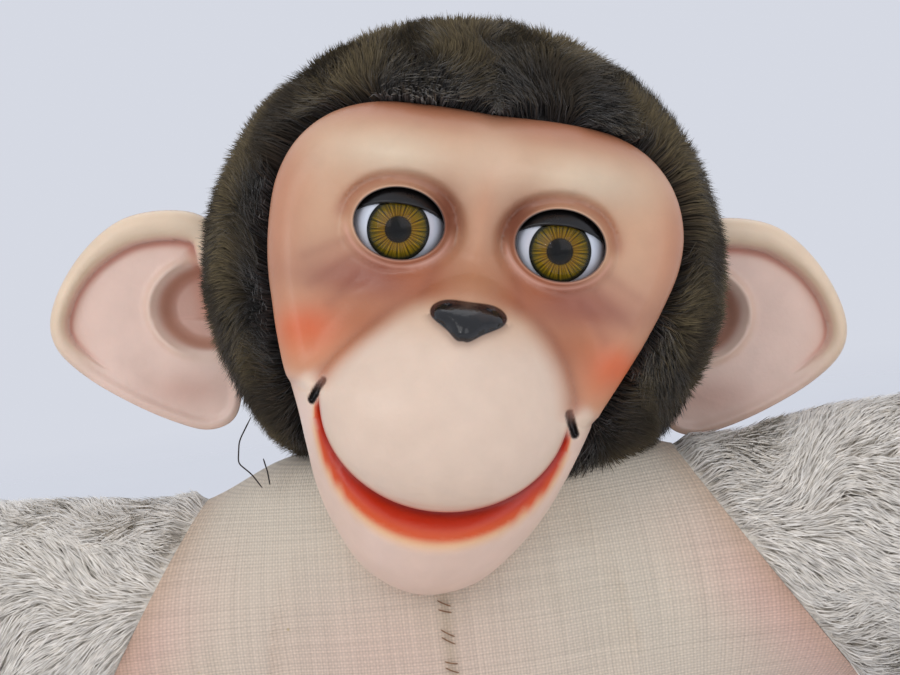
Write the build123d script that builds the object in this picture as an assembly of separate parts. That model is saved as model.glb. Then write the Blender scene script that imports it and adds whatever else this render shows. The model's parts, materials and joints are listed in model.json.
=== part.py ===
"""Stuffed chimpanzee doll, seated: cloth body, plush limbs and hood, vinyl face, ears, hands and feet, sleep eyes.

Millimetres, +Z up. The origin is the middle of the flat seat. The doll faces -Y, so its own left side is +X.
"""

from build123d import *
import math
import os

# Cloth body
NECK_TOP = 186.0  # top of the body, where the neck stands
CLOTH = 1.5  # cloth body cover
PLUSH = 4.0  # plush cover, backing and pile together
EASE = 0.3  # between a cover and its stuffing
BODY_SECTIONS = (  # height, half width, half depth, middle in Y; the seat cuts the lowest at Z 0
    (-6, 34, 18, 27),
    (12, 60, 26, 29),
    (28, 66, 29, 31),
    (50, 69, 42, 14),
    (75, 67, 46, 9),
    (100, 62, 45, 6),
    (125, 54, 42, 3),
    (150, 52, 40, 1),
    (170, 46, 35, 0),
    (NECK_TOP, 32, 27, 0),
)
SIDE_SEAM_Y = -12.0
SEAT_Y = 27.0  # the seat's middle is this far behind the spine
BELLY_SEAM_END = 42.0
STITCH_PITCH = 6.6
STITCH_RISE = 0.6

# Shoulders and hips: a ball on the body, a cup on the limb
SHOULDER = (66.0, 0.0, 156.0)
SHOULDER_R = 34.0
ARM_RAISE = 5.0
HIP = (40.0, -30.0, 30.0)
HIP_R = 29.5
LEG_SPLAY = 10.0
CUP_GAP = 0.5

# Limbs: distance from the pivot and radius
ARM_OUTLINE = ((0, 30), (30, 30.5), (70, 30), (110, 26), (136, 21.5))
LEG_OUTLINE = ((0, 26), (30, 28.5), (70, 28.5), (115, 26), (142, 22.5))
CUFF_R = 15.5
CUFF_WALL = 2.2
CUFF_LENGTH = 9.0

# Hand and foot
PALM = (36.0, 34.0, 17.0)
FINGER_R = 4.6
FINGER_LENGTH = 17.0
FINGER_PITCH = 8.6
THUMB_R = 5.2
FOOT_LENGTH = 66.0
FOOT_WIDTH = 38.0
FOOT_THICK = 24.0
TOE_R = 5.2

# Head: pose on the neck, then sizes in the head's own frame
NECK = (0.0, 0.0, 183.0)
HEAD_TILT = 13.0
HEAD_TURN = 5.0
HEAD_RISE = 54.0
CORE_R = 50.0
HOOD_R = 59.0
GUSSET_HALF = 13.0
NECK_BALL_R = 20.0
NECK_STEM_R = 13.0
NECK_STEM_TOP = 34.0
VINYL = 2.0
MASK_SKEW = 2.0
FACE_R, FACE_Y, FACE_Z = 44.0, -8.5, -3.0
MUZZLE_R, MUZZLE_Y, MUZZLE_Z = 34.0, -37.0, -37.0
MASK_TOP = 33.0
MASK_BACK = -15.0
CORE_FRONT = -14.0
JAW_TOP = -39.0  # under this height the mask ends at the jaw's back edge
JAW_BACK = -43.0
OPENING = ((46.0, -6.0), (40.0, -40.0))  # the hood's front opening: radius and height of its two rounds
OPENING_BACK = -2.0
HOOD_CUT_R = 35.0  # the hood's round lower edge, about the neck

# Ears
EAR_SKEW = -8.0
EAR_AT = (70.0, 4.0, -13.0)
EAR_R = 25.5
EAR_BOWL_R = 36.0
EAR_WALL = 2.6
EAR_ROOM = 0.4

# Sleep eyes
EYE_X, EYE_Y, EYE_Z = 17.6, -40.0, 7.0
EYEBALL_R = 11.0
EYEBALL_WALL = 1.5
EYELID_R = 11.9
SOCKET_R = 12.2
SOCKET_WALL = 1.0
SOCKET_FRONT = 1.5
IRIS_R = 6.5
IRIS_THICK = 0.8
PIN_R = 1.0
PIN_PLAY = 0.06
LID_EDGE = 3.4  # the open lid's edge above the eye's middle

BIG = 400.0


def save(shape, node):
    """Everything is drawn about the spine and saved about the seat."""
    export_step(Pos(0, -SEAT_Y, 0) * shape, f"parts/{node}.step")


def side_name(side):
    return "left" if side > 0 else "right"


def to_side(shape, side):
    """The left side is modelled; the right side is its mirror image."""
    return shape if side > 0 else mirror(shape, Plane.YZ)


def above(z):
    return Pos(0, 0, z + BIG / 2) * Box(BIG, BIG, BIG)


def below(z):
    return Pos(0, 0, z - BIG / 2) * Box(BIG, BIG, BIG)


def in_front(y):
    return Pos(0, y - BIG / 2, 0) * Box(BIG, BIG, BIG)


def behind(y):
    return Pos(0, y + BIG / 2, 0) * Box(BIG, BIG, BIG)


def to_the_left(x):
    return Pos(x + BIG / 2, 0, 0) * Box(BIG, BIG, BIG)


def to_the_right(x):
    return Pos(x - BIG / 2, 0, 0) * Box(BIG, BIG, BIG)


def ball(radius):
    """A sphere with its poles on X, clear of every cut."""
    return Rot(0, 90, 0) * Sphere(radius)


def rod(radius, start, end):
    """A cylinder along X."""
    return Pos((start + end) / 2, 0, 0) * Rot(0, 90, 0) * Cylinder(radius, end - start)


# Body


def body_form(inset):
    """The stuffed body, every face moved in by inset (out when negative)."""
    sections = []
    for height, half_width, half_depth, middle in BODY_SECTIONS:
        z = min(height, NECK_TOP - inset)
        sections.append(Pos(0, middle, z) * Ellipse(half_width - inset, half_depth - inset))
    form = loft(sections) - below(inset)
    for side in (1, -1):
        form += Pos(side * SHOULDER[0], SHOULDER[1], SHOULDER[2]) * Sphere(SHOULDER_R - inset)
        form += Pos(side * HIP[0], HIP[1], HIP[2]) * Sphere(HIP_R - inset)
    return form


def make_body():
    dish = Pos(*NECK) * Sphere(NECK_BALL_R + CUP_GAP)
    outer = body_form(0)
    inner = body_form(CLOTH)
    save(body_form(CLOTH + EASE) - dish, "torso_stuffing")
    rear = outer & behind(SIDE_SEAM_Y)
    front = outer & in_front(SIDE_SEAM_Y)
    save(rear & below(CLOTH), "seat_panel")
    save((rear & above(CLOTH)) - inner - dish, "back_panel")
    save((front & to_the_left(0)) - inner - dish, "chest_panel_left")
    save((front & to_the_right(0)) - inner - dish, "chest_panel_right")

    stitches = []
    top = NECK_TOP - 5
    count = int((top - BELLY_SEAM_END) / STITCH_PITCH)
    raised = body_form(-STITCH_RISE) & in_front(-10)
    for i in range(count):
        bar = Pos(0, -BIG / 4, top - i * STITCH_PITCH) * Rot(0, 25, 0) * Box(5.0, BIG / 2, 0.9)
        stitches.append((raised & bar) - outer)
    bars = [solid for stitch in stitches for solid in stitch.solids()]
    save(Compound(children=bars), "centre_seam_stitches")

    ring = Pos(0, 0, NECK_TOP + 0.75) * (Cylinder(NECK_BALL_R + 4.5, 1.5) - Cylinder(NECK_BALL_R + 1, 1.5))
    save(ring, "neck_seam_binding")


# Limbs


def limb_form(outline, inset):
    """A solid of revolution about X through the outline's points, from the pivot out."""
    points = [(x, r - inset) for x, r in outline]
    edge = Spline(*points)
    closing = Polyline(edge @ 1, (points[-1][0], 0), (0, 0), edge @ 0)
    return revolve(Plane.XZ * make_face(edge + closing), Axis.X)


def limb_parts(outline, ball_radius):
    """Cover, stuffing and binding of a limb along X, with its cup at the pivot."""
    end = outline[-1][0]
    cup = Sphere(ball_radius + CUP_GAP)
    bore = rod(CUFF_R + CUFF_WALL + EASE, end - CUFF_LENGTH - 6, end + 1)
    inside = limb_form(outline, PLUSH) & to_the_right(end - CUFF_LENGTH)
    cover = (limb_form(outline, 0) & to_the_left(1)) - inside - cup - bore
    stuffing = (limb_form(outline, PLUSH + EASE) & to_the_right(end - CUFF_LENGTH - EASE)) - cup
    tube = rod(CUFF_R + CUFF_WALL, end - CUFF_LENGTH, end) - rod(CUFF_R + 0.1, end - BIG / 4, end + 1)
    return cover, stuffing, tube


def finger(radius, length):
    """A rod along X with a rounded tip."""
    plain = rod(radius, 0, length)
    return fillet(plain.edges().sort_by(Axis.X)[-1], 0.9 * radius)


def hand():
    """Palm down, fingers along +X, thumb forward. The wrist plug is at X = 0."""
    length, width, thick = PALM
    palm = Pos(6 + length / 2, 0, 0) * Box(length, width, thick)
    palm = fillet(palm.edges(), 7.0)
    shape = palm + rod(CUFF_R, -CUFF_LENGTH, 9)
    for i in range(4):
        y = (i - 1.5) * FINGER_PITCH
        reach = FINGER_LENGTH - 2.2 * abs(i - 1.2)
        shape += Pos(length, y, 0) * finger(FINGER_R, reach + 6 + FINGER_R)
    shape += Pos(14, -width / 2 + 5, -1) * Rot(0, 0, -42) * finger(THUMB_R, 21 + THUMB_R)
    return shape


def foot():
    """Sole at the far end of X, toes up. The ankle plug is at X = 0."""
    heel = HIP[2] - 1.5
    sole = Pos(4 + FOOT_THICK / 2, 0, FOOT_LENGTH / 2 - heel) * Box(FOOT_THICK, FOOT_WIDTH, FOOT_LENGTH)
    sole = fillet(sole.edges(), 10.0)
    shape = sole + rod(CUFF_R, -CUFF_LENGTH, 8)
    for i in range(5):
        y = (i - 2) * 7.6
        z = FOOT_LENGTH - heel - 6 - 1.2 * (i - 1.5) ** 2
        shape += Pos(4 + FOOT_THICK * 0.6, y, z) * Sphere(TOE_R)
    return shape


def make_arms():
    place = Pos(*SHOULDER) * Rot(0, -ARM_RAISE, 0)
    cover, stuffing, tube = limb_parts(ARM_OUTLINE, SHOULDER_R)
    end = ARM_OUTLINE[-1][0]
    palm = Pos(end, 0, 0) * hand()
    for side in (1, -1):
        name = side_name(side)
        save(to_side(place * cover, side), f"arm_cover_{name}")
        save(to_side(place * stuffing, side), f"arm_stuffing_{name}")
        save(to_side(place * tube, side), f"wrist_binding_{name}")
        save(to_side(place * palm, side), f"hand_{name}")


def make_legs():
    place = Pos(*HIP) * Rot(0, 0, LEG_SPLAY - 90)
    cover, stuffing, tube = limb_parts(LEG_OUTLINE, HIP_R)
    end = LEG_OUTLINE[-1][0]
    shoe = Pos(end, 0, 0) * foot()
    for side in (1, -1):
        name = side_name(side)
        save(to_side(place * cover, side), f"leg_cover_{name}")
        save(to_side(place * stuffing, side), f"leg_stuffing_{name}")
        save(to_side(place * tube, side), f"ankle_binding_{name}")
        save(to_side(place * shoe, side), f"foot_{name}")


# Head

NECK_FRAME = Pos(*NECK) * Rot(0, HEAD_TILT, 0)
HEAD_FRAME = NECK_FRAME * Rot(0, 0, HEAD_TURN) * Pos(0, 0, HEAD_RISE)
MASK_FRAME = HEAD_FRAME * Rot(0, MASK_SKEW, 0)
EAR_FRAME = HEAD_FRAME * Rot(0, EAR_SKEW, 0)


def eye_place(side):
    return Pos(side * EYE_X, EYE_Y, EYE_Z)


def face_form(inset):
    """Face and muzzle, in the mask's frame."""
    face = Pos(0, FACE_Y, FACE_Z) * Sphere(FACE_R - inset)
    return face + Pos(0, MUZZLE_Y, MUZZLE_Z) * Sphere(MUZZLE_R - inset)


def neck_bore():
    return Pos(0, 0, -HEAD_RISE + NECK_STEM_TOP / 2 + 1) * Cylinder(NECK_STEM_R + CUP_GAP, NECK_STEM_TOP + 2)


def ear_bowl(radius):
    """The left ear's round dish, open to the front, with its rim at EAR_R for the outer radius."""
    rim = math.sqrt(EAR_BOWL_R**2 - EAR_R**2)
    middle = Pos(EAR_AT[0], EAR_AT[1] - rim, EAR_AT[2])
    return (middle * Sphere(radius)) & behind(EAR_AT[1])


def make_head():
    sockets = eye_place(1) * Sphere(SOCKET_R + SOCKET_WALL + 0.2)
    sockets += eye_place(-1) * Sphere(SOCKET_R + SOCKET_WALL + 0.2)
    throat = behind(JAW_BACK) & below(JAW_TOP)
    mask = (face_form(0) & in_front(MASK_BACK) & below(MASK_TOP)) - throat - face_form(VINYL) - sockets
    save(MASK_FRAME * mask, "face_mask")

    pad = Pos(0, MUZZLE_Y, MUZZLE_Z) * Sphere(MUZZLE_R - VINYL - EASE)
    pad = pad & in_front(MASK_BACK - 2) & below(-10)
    save(MASK_FRAME * (pad - throat - sockets), "muzzle_pad")

    core = Sphere(CORE_R)
    neck_room = Pos(0, 0, -HEAD_RISE) * Sphere(NECK_BALL_R + 7) + neck_bore()
    save(HEAD_FRAME * ((core & behind(CORE_FRONT)) - neck_room), "head_stuffing")

    to_head = HEAD_FRAME.inverse() * EAR_FRAME
    under_hood = ball(CORE_R + EASE)
    tunnel = [Pos(0, -BIG / 2, z) * Rot(90, 0, 0) * Cylinder(radius, BIG) for radius, z in OPENING]
    opening = (tunnel[0] + tunnel[1]) & in_front(OPENING_BACK)
    neck_cut = Pos(0, 0, -HEAD_RISE) * Sphere(HOOD_CUT_R)
    hood = ball(HOOD_R)
    left_cut = to_head * ear_bowl(EAR_BOWL_R + EAR_ROOM)
    right_cut = to_head * mirror(ear_bowl(EAR_BOWL_R + EAR_ROOM), Plane.YZ)
    left = (hood & to_the_left(GUSSET_HALF)) - under_hood - opening - neck_cut - left_cut
    right = (hood & to_the_right(-GUSSET_HALF)) - under_hood - opening - neck_cut - right_cut
    middle = (hood & to_the_left(-GUSSET_HALF) & to_the_right(GUSSET_HALF)) - under_hood - opening - neck_cut
    save(HEAD_FRAME * left, "hood_side_left")
    save(HEAD_FRAME * right, "hood_side_right")
    save(HEAD_FRAME * middle, "hood_crown_gusset")

    for side in (1, -1):
        bowl = ear_bowl(EAR_BOWL_R) - ear_bowl(EAR_BOWL_R - EAR_WALL)
        one_ear = to_head * to_side(bowl, side) - under_hood
        save(HEAD_FRAME * one_ear, f"ear_{side_name(side)}")

    knob = Sphere(NECK_BALL_R) - above(NECK_BALL_R - 6)
    stem = Pos(0, 0, NECK_STEM_TOP / 2) * Cylinder(NECK_STEM_R, NECK_STEM_TOP)
    save(NECK_FRAME * (knob + stem), "neck_stump")


# Sleep eyes


def make_eyes():
    iris_face = -math.sqrt(EYEBALL_R**2 - IRIS_R**2)
    recess = in_front(iris_face + IRIS_THICK)
    bore = rod(PIN_R + PIN_PLAY, -2 * EYEBALL_R, 2 * EYEBALL_R)

    shell = Sphere(EYEBALL_R) - Sphere(EYEBALL_R - EYEBALL_WALL)
    eyeball = (shell & in_front(6)) - recess - bore
    web = Box(2 * (EYEBALL_R - EYEBALL_WALL), 1.2, 5) & Sphere(EYEBALL_R - EYEBALL_WALL)
    eyeball += web - bore

    front = Rot(90, 0, 0) * Cylinder(IRIS_R, IRIS_THICK)
    iris = Pos(0, iris_face + IRIS_THICK / 2, 0) * front
    cornea = (Sphere(EYEBALL_R) & in_front(iris_face)) & (Rot(90, 0, 0) * Cylinder(IRIS_R, 4 * EYEBALL_R))

    lid_shell = Sphere(EYELID_R) - Sphere(EYEBALL_R + 0.05)
    lid = (lid_shell & above(LID_EDGE)) & in_front(7)
    ballast = Sphere(EYEBALL_R - EYEBALL_WALL) & below(-3.6) & behind(-1) & in_front(6)

    socket = (Sphere(SOCKET_R + SOCKET_WALL) & behind(-SOCKET_FRONT)) - Sphere(SOCKET_R)
    pin_length = SOCKET_R + SOCKET_WALL * 0.6
    pin = rod(PIN_R, -pin_length, pin_length)
    socket = socket - rod(PIN_R, -pin_length, pin_length)

    for side in (1, -1):
        place = MASK_FRAME * eye_place(side)
        name = side_name(side)
        save(place * eyeball, f"eyeball_{name}")
        save(place * iris, f"iris_{name}")
        save(place * cornea, f"cornea_{name}")
        save(place * lid, f"eyelid_{name}")
        save(place * ballast, f"eye_weight_{name}")
        save(place * socket, f"eye_socket_{name}")
        save(place * pin, f"eye_pin_{name}")


os.makedirs("parts", exist_ok=True)
make_body()
make_arms()
make_legs()
make_head()
make_eyes()
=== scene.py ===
"""The looks of the seated chimpanzee doll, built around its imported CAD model.

The scene is in metres; shapes are worked out in millimetres.
"""

import json
import math
from contextlib import contextmanager

import bmesh
import bpy
import numpy as np
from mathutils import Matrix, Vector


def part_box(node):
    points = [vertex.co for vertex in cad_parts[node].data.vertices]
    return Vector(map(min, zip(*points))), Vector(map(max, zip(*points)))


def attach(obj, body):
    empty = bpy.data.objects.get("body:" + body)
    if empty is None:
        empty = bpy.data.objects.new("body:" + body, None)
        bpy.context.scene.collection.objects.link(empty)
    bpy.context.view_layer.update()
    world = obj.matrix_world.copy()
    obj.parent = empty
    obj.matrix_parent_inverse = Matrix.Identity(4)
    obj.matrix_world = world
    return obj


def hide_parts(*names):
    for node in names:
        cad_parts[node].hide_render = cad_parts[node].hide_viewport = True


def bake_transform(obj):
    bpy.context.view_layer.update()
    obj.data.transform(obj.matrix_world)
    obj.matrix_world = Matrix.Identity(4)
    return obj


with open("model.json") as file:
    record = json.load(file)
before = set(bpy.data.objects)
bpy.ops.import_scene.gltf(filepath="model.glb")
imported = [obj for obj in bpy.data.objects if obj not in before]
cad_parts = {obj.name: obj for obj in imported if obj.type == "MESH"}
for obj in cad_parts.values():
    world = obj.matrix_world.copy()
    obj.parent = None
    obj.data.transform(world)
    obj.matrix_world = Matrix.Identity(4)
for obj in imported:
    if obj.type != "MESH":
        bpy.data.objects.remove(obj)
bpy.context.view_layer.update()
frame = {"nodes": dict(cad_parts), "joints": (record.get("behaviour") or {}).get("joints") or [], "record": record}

import openvdb
from mathutils import Matrix, Vector
from mathutils.geometry import delaunay_2d_cdt
from mathutils.kdtree import KDTree

MM = 0.001
SEED = 7
WELD = 0.00001
FULL_TURN = 2 * math.pi
JOINTS = {j["name"]: j for j in frame["joints"]}

# ---------------------------------------------------------------- places, from the frame


def unit(v):
    v = np.asarray(v, float)
    return v / np.linalg.norm(v)


def pivot(name):
    return np.array(JOINTS[name]["pos_m"], float) / MM


def frame_matrix(origin, x_axis, z_hint):
    """4x4 matrix in millimetres with the given X axis and Z as near z_hint as can be."""
    x = unit(x_axis)
    z = unit(np.asarray(z_hint) - np.dot(z_hint, x) * x)
    m = np.eye(4)
    m[:3, 0], m[:3, 1], m[:3, 2], m[:3, 3] = x, np.cross(z, x), z, origin
    return m


def place(m, points):
    return points @ m[:3, :3].T + m[:3, 3]


def unplace(m, points):
    return (points - m[:3, 3]) @ m[:3, :3]


NECK = pivot("head_tilt")
HEAD_UP = unit(JOINTS["head_turn"]["axis"])
EYE_LEFT, EYE_RIGHT = pivot("eye_left_roll"), pivot("eye_right_roll")
EYE_GAP = np.linalg.norm(EYE_LEFT - EYE_RIGHT) / 2
FACE = frame_matrix((EYE_LEFT + EYE_RIGHT) / 2, EYE_LEFT - EYE_RIGHT, HEAD_UP)
EYE_DROP = 1.3  # the eyes' pivots are this far under the middle of the eye holes
MASK = FACE.copy()
MASK[:3, 3] += EYE_DROP * FACE[:3, 2]
MUZZLE_TURN = 0.09  # the moulded face is a little askew: sideways shift per millimetre of height
JAW_SHIFT = 2.5  # and its jaw sits this far to the doll's right
HEAD_RISE = 54.0
HEAD = frame_matrix(NECK + HEAD_RISE * HEAD_UP, EYE_LEFT - EYE_RIGHT, HEAD_UP)
SHOULDER = {1: pivot("shoulder_left"), -1: pivot("shoulder_right")}
HIP = {1: pivot("hip_left"), -1: pivot("hip_right")}
ARM_RAISE = math.radians(5.0)
LEG_SPLAY = math.radians(10.0)
SIDE = {1: "left", -1: "right"}
SPINE_Y = SHOULDER[1][1]


def arm_frame(side):
    """Arm's own frame: X from the shoulder to the hand, Z up."""
    x = np.array([side * math.cos(ARM_RAISE), 0, math.sin(ARM_RAISE)])
    return frame_matrix(SHOULDER[side], x, (0, 0, 1))


def leg_frame(side):
    x = np.array([side * math.sin(LEG_SPLAY), -math.cos(LEG_SPLAY), 0])
    return frame_matrix(HIP[side], x, (0, 0, 1))


# ---------------------------------------------------------------- small helpers


def srgb(r, g, b):
    """Colour from 0-255 display values to linear."""
    c = np.array([r, g, b]) / 255.0
    return np.where(c <= 0.04045, c / 12.92, ((c + 0.055) / 1.055) ** 2.4)


def smoothstep(a, b, t):
    s = np.clip((t - a) / (b - a), 0, 1)
    return s * s * (3 - 2 * s)


def bump(dx, dz):
    return np.exp(-dx * dx - dz * dz)


def smooth_max(a, b, k):
    h = np.clip(0.5 + 0.5 * (a - b) / k, 0, 1)
    return b * (1 - h) + a * h + k * h * (1 - h)


def smooth_min(a, b, k):
    return -smooth_max(-a, -b, k)


def mix(a, b, w):
    w = np.asarray(w)[:, None]
    return a * (1 - w) + b * w


def coated(c, layers):
    """The colours c with (display colour, weight) layers over them."""
    for rgb, weight in layers:
        c = mix(c, srgb(*rgb), weight)
    return c


def flat_colour(count, rgb):
    return np.tile(srgb(*rgb), (count, 1))


def gauss(distance, width):
    return np.exp(-((distance / width) ** 2))


def askew(x, z):
    """Sideways places of the mask's lower half, which isn't quite under its eyes."""
    return x - JAW_SHIFT * smoothstep(-19, -38, z)


def closed_curve(points, count):
    """Smooth closed curve through the points."""
    p = np.asarray(points, float)
    n = len(p)
    t = np.linspace(0, n, count, endpoint=False)
    i = t.astype(int)
    f = (t - i)[:, None]
    a, b, c, d = p[(i - 1) % n], p[i], p[(i + 1) % n], p[(i + 2) % n]
    return 0.5 * (2 * b + (c - a) * f + (2 * a - 5 * b + 4 * c - d) * f**2 + (3 * b - a - 3 * c + d) * f**3)


def mirrored(points):
    """A left half outline, top to bottom, made whole."""
    return list(points) + [(-x, z) for x, z in points[-2:0:-1]]


def inside(poly, x, z):
    """Signed distance to a closed polygon, positive inside."""
    a, b = poly, np.roll(poly, -1, axis=0)
    out = np.empty(len(x))
    step = 4000
    for s in range(0, len(x), step):
        p = np.stack([x[s:s + step], z[s:s + step]], 1)[:, None, :]
        e = (b - a)[None]
        w = p - a[None]
        t = np.clip((w * e).sum(2) / (e * e).sum(2), 0, 1)
        near = np.sqrt((((w - e * t[..., None]) ** 2).sum(2)).min(1))
        cross = (a[None, :, 1] > p[..., 1]) != (b[None, :, 1] > p[..., 1])
        slope = np.where(np.abs(e[..., 1]) < 1e-12, 1e-12, e[..., 1])
        xs = a[None, :, 0] + (p[..., 1] - a[None, :, 1]) * e[..., 0] / slope
        odd = (cross & (p[..., 0] < xs)).sum(1) % 2 == 1
        out[s:s + step] = np.where(odd, near, -near)
    return out


def segment_distance(x, z, a, b):
    a, b = np.array(a, float), np.array(b, float)
    e = b - a
    t = np.clip(((x - a[0]) * e[0] + (z - a[1]) * e[1]) / (e @ e), 0, 1)
    return np.hypot(x - a[0] - e[0] * t, z - a[1] - e[1] * t)


def make_mesh(name, points_mm, faces, material, colours=None, smooth=True, extra=None):
    """A mesh object from points in millimetres. faces is an index array, or a list of one per face size."""
    groups = faces if isinstance(faces, list) else [faces]
    groups = [np.asarray(g, np.int32) for g in groups if len(g)]
    mesh = bpy.data.meshes.new(name)
    mesh.vertices.add(len(points_mm))
    mesh.vertices.foreach_set("co", (np.asarray(points_mm) * MM).astype(np.float32).ravel())
    loops = np.concatenate([g.ravel() for g in groups])
    sizes = np.concatenate([np.full(len(g), g.shape[1], np.int32) for g in groups])
    mesh.loops.add(len(loops))
    mesh.loops.foreach_set("vertex_index", loops)
    mesh.polygons.add(len(sizes))
    starts = np.concatenate([[0], np.cumsum(sizes)[:-1]])
    mesh.polygons.foreach_set("loop_start", starts.astype(np.int32))
    mesh.polygons.foreach_set("use_smooth", np.full(len(sizes), smooth))
    mesh.update(calc_edges=True)
    mesh.validate()
    if colours is not None:
        paint(mesh, "Paint", colours)
    obj = bpy.data.objects.new(name, mesh)
    for key, values in (extra or {}).items():
        add_values(obj, key, values)
    bpy.context.scene.collection.objects.link(obj)
    if material is not None:
        mesh.materials.append(material)
    return obj


def paint(mesh, name, colours):
    layer = mesh.color_attributes.new(name, "FLOAT_COLOR", "POINT")
    rgba = np.ones((len(colours), 4), np.float32)
    rgba[:, :3] = colours
    layer.data.foreach_set("color", rgba.ravel())


def grid_quads(rows, columns, round_rows=False, round_columns=True, flipped=False):
    """Faces of points laid row by row, closed round its columns (and rows) where asked."""
    spans = np.arange(rows - (not round_rows)), np.arange(columns - (not round_columns))
    i, j = np.meshgrid(*spans, indexing="ij")
    down, right = (i + 1) % rows, (j + 1) % columns
    corners = [i * columns + j, i * columns + right, down * columns + right, down * columns + j]
    quads = np.stack(corners, -1).reshape(-1, 4)
    return quads[:, [0, 3, 2, 1]] if flipped else quads


@contextmanager
def edited(obj):
    """The object's mesh as a bmesh, written back at the end."""
    bm = bmesh.new()
    bm.from_mesh(obj.data)
    yield bm
    bm.to_mesh(obj.data)
    bm.free()


def drop_loose(bm):
    bmesh.ops.delete(bm, geom=[v for v in bm.verts if not v.link_faces], context="VERTS")


def weld(obj):
    with edited(obj) as bm:
        bmesh.ops.remove_doubles(bm, verts=bm.verts, dist=WELD)


def fix_normals(obj):
    with edited(obj) as bm:
        bmesh.ops.recalc_face_normals(bm, faces=bm.faces)


def set_points(obj, points_mm):
    obj.data.vertices.foreach_set("co", (points_mm * MM).astype(np.float32).ravel())
    obj.data.update()


def add_values(obj, name, values):
    """A number per vertex, for the materials to read."""
    layer = obj.data.attributes.new(name, "FLOAT", "POINT")
    layer.data.foreach_set("value", np.asarray(values, np.float32))


def points_of(obj):
    co = np.empty(len(obj.data.vertices) * 3, np.float32)
    obj.data.vertices.foreach_get("co", co)
    return co.reshape(-1, 3).astype(float) / MM


def triangles_of(obj):
    obj.data.calc_loop_triangles()
    tri = np.empty(len(obj.data.loop_triangles) * 3, np.int32)
    obj.data.loop_triangles.foreach_get("vertices", tri)
    return tri.reshape(-1, 3)


# ---------------------------------------------------------------- materials


class Nodes:
    """A material with one Principled shader and short ways to add nodes."""

    def __init__(self, name, **sockets):
        self.material = bpy.data.materials.new(name)
        self.material.use_nodes = True
        self.tree = self.material.node_tree
        self.shader = self.tree.nodes["Principled BSDF"]
        for key, value in sockets.items():
            self.shader.inputs[key.replace("_", " ")].default_value = value

    def add(self, kind, **inputs):
        node = self.tree.nodes.new(kind)
        for key, value in inputs.items():
            if key[0].islower():
                setattr(node, key, value)
            else:
                self.put(value, node.inputs[key.replace("_", " ")])
        return node

    def put(self, value, socket):
        if isinstance(value, bpy.types.NodeSocket):
            self.tree.links.new(value, socket)
        else:
            socket.default_value = value

    def attribute(self, name, output="Color"):
        node = self.add("ShaderNodeAttribute", attribute_name=name)
        return node.outputs[output]

    def coords(self):
        return self.add("ShaderNodeTexCoord").outputs["Object"]

    def noise(self, scale, detail=3.0, vector=None):
        node = self.add("ShaderNodeTexNoise")
        node.inputs["Scale"].default_value = scale
        node.inputs["Detail"].default_value = detail
        self.put(vector or self.coords(), node.inputs["Vector"])
        return node.outputs["Fac"]

    def math(self, operation, a, b=0.0, clamp=False):
        node = self.add("ShaderNodeMath", operation=operation, use_clamp=clamp)
        self.put(a, node.inputs[0])
        self.put(b, node.inputs[1])
        return node.outputs[0]

    def ramp(self, value, low, high, to_low=0.0, to_high=1.0):
        node = self.add("ShaderNodeMapRange")
        self.put(value, node.inputs["Value"])
        for key, number in (("From Min", low), ("From Max", high), ("To Min", to_low), ("To Max", to_high)):
            node.inputs[key].default_value = number
        return node.outputs["Result"]

    def blend(self, a, b, fac, kind="MIX"):
        node = self.add("ShaderNodeMix", data_type="RGBA", blend_type=kind)
        self.put(fac, node.inputs["Factor"])
        for value, key in ((a, "A"), (b, "B")):
            socket = [s for s in node.inputs if s.name == key and s.type == "RGBA"][0]
            self.put(value if isinstance(value, bpy.types.NodeSocket) else (*value, 1.0), socket)
        return [s for s in node.outputs if s.type == "RGBA"][0]

    def shaded(self, colour, value):
        """The colour times a grey value."""
        grey = self.add("ShaderNodeCombineColor", Red=value, Green=value, Blue=value).outputs[0]
        return self.blend(colour, grey, 1.0, "MULTIPLY")

    def colour(self, value):
        self.put(value, self.shader.inputs["Base Color"])

    def rough(self, value):
        self.put(value, self.shader.inputs["Roughness"])

    def relief(self, height, distance, strength=1.0):
        node = self.add("ShaderNodeBump")
        node.inputs["Distance"].default_value = distance
        node.inputs["Strength"].default_value = strength
        self.put(height, node.inputs["Height"])
        self.put(node.outputs["Normal"], self.shader.inputs["Normal"])


def vinyl(name):
    """Sprayed soft vinyl: the paint is on the mesh, with faint mottling, smudges and a waxy gloss."""
    n = Nodes(name, IOR=1.47, Coat_Weight=0.12, Coat_Roughness=0.22, Subsurface_Weight=0.06,
              Subsurface_Radius=(0.9, 0.4, 0.25), Subsurface_Scale=0.004)
    toned = n.shaded(n.attribute("Paint"), n.ramp(n.noise(170, 4), 0.3, 0.7, 0.97, 1.03))
    smudge = n.ramp(n.noise(55, 6), 0.60, 0.76, 0.0, 0.16)
    n.colour(n.blend(toned, srgb(150, 112, 92), smudge))
    gloss = n.attribute("Gloss", "Fac")
    worn = n.ramp(n.noise(90, 3), 0.35, 0.65, 0.36, 0.47)
    n.rough(n.math("SUBTRACT", worn, n.math("MULTIPLY", gloss, 0.3), clamp=True))
    n.relief(n.noise(900, 2), 0.00006)
    return n.material


def pile(name, sheen):
    """Fur: the blades carry their own colours from root to tip."""
    n = Nodes(name, Roughness=0.72, Sheen_Weight=sheen, Sheen_Roughness=0.5, IOR=1.45,
              Specular_IOR_Level=0.25)
    n.colour(n.shaded(n.attribute("Paint"), n.ramp(n.noise(420, 2), 0.3, 0.7, 0.82, 1.15)))
    return n.material


WEAVE_PITCH = 0.68 * MM
SLUB_LONG, SLUB_SHORT = 22.0, 1400.0  # thick and thin places in a thread: noise scale along it and across it


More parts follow.
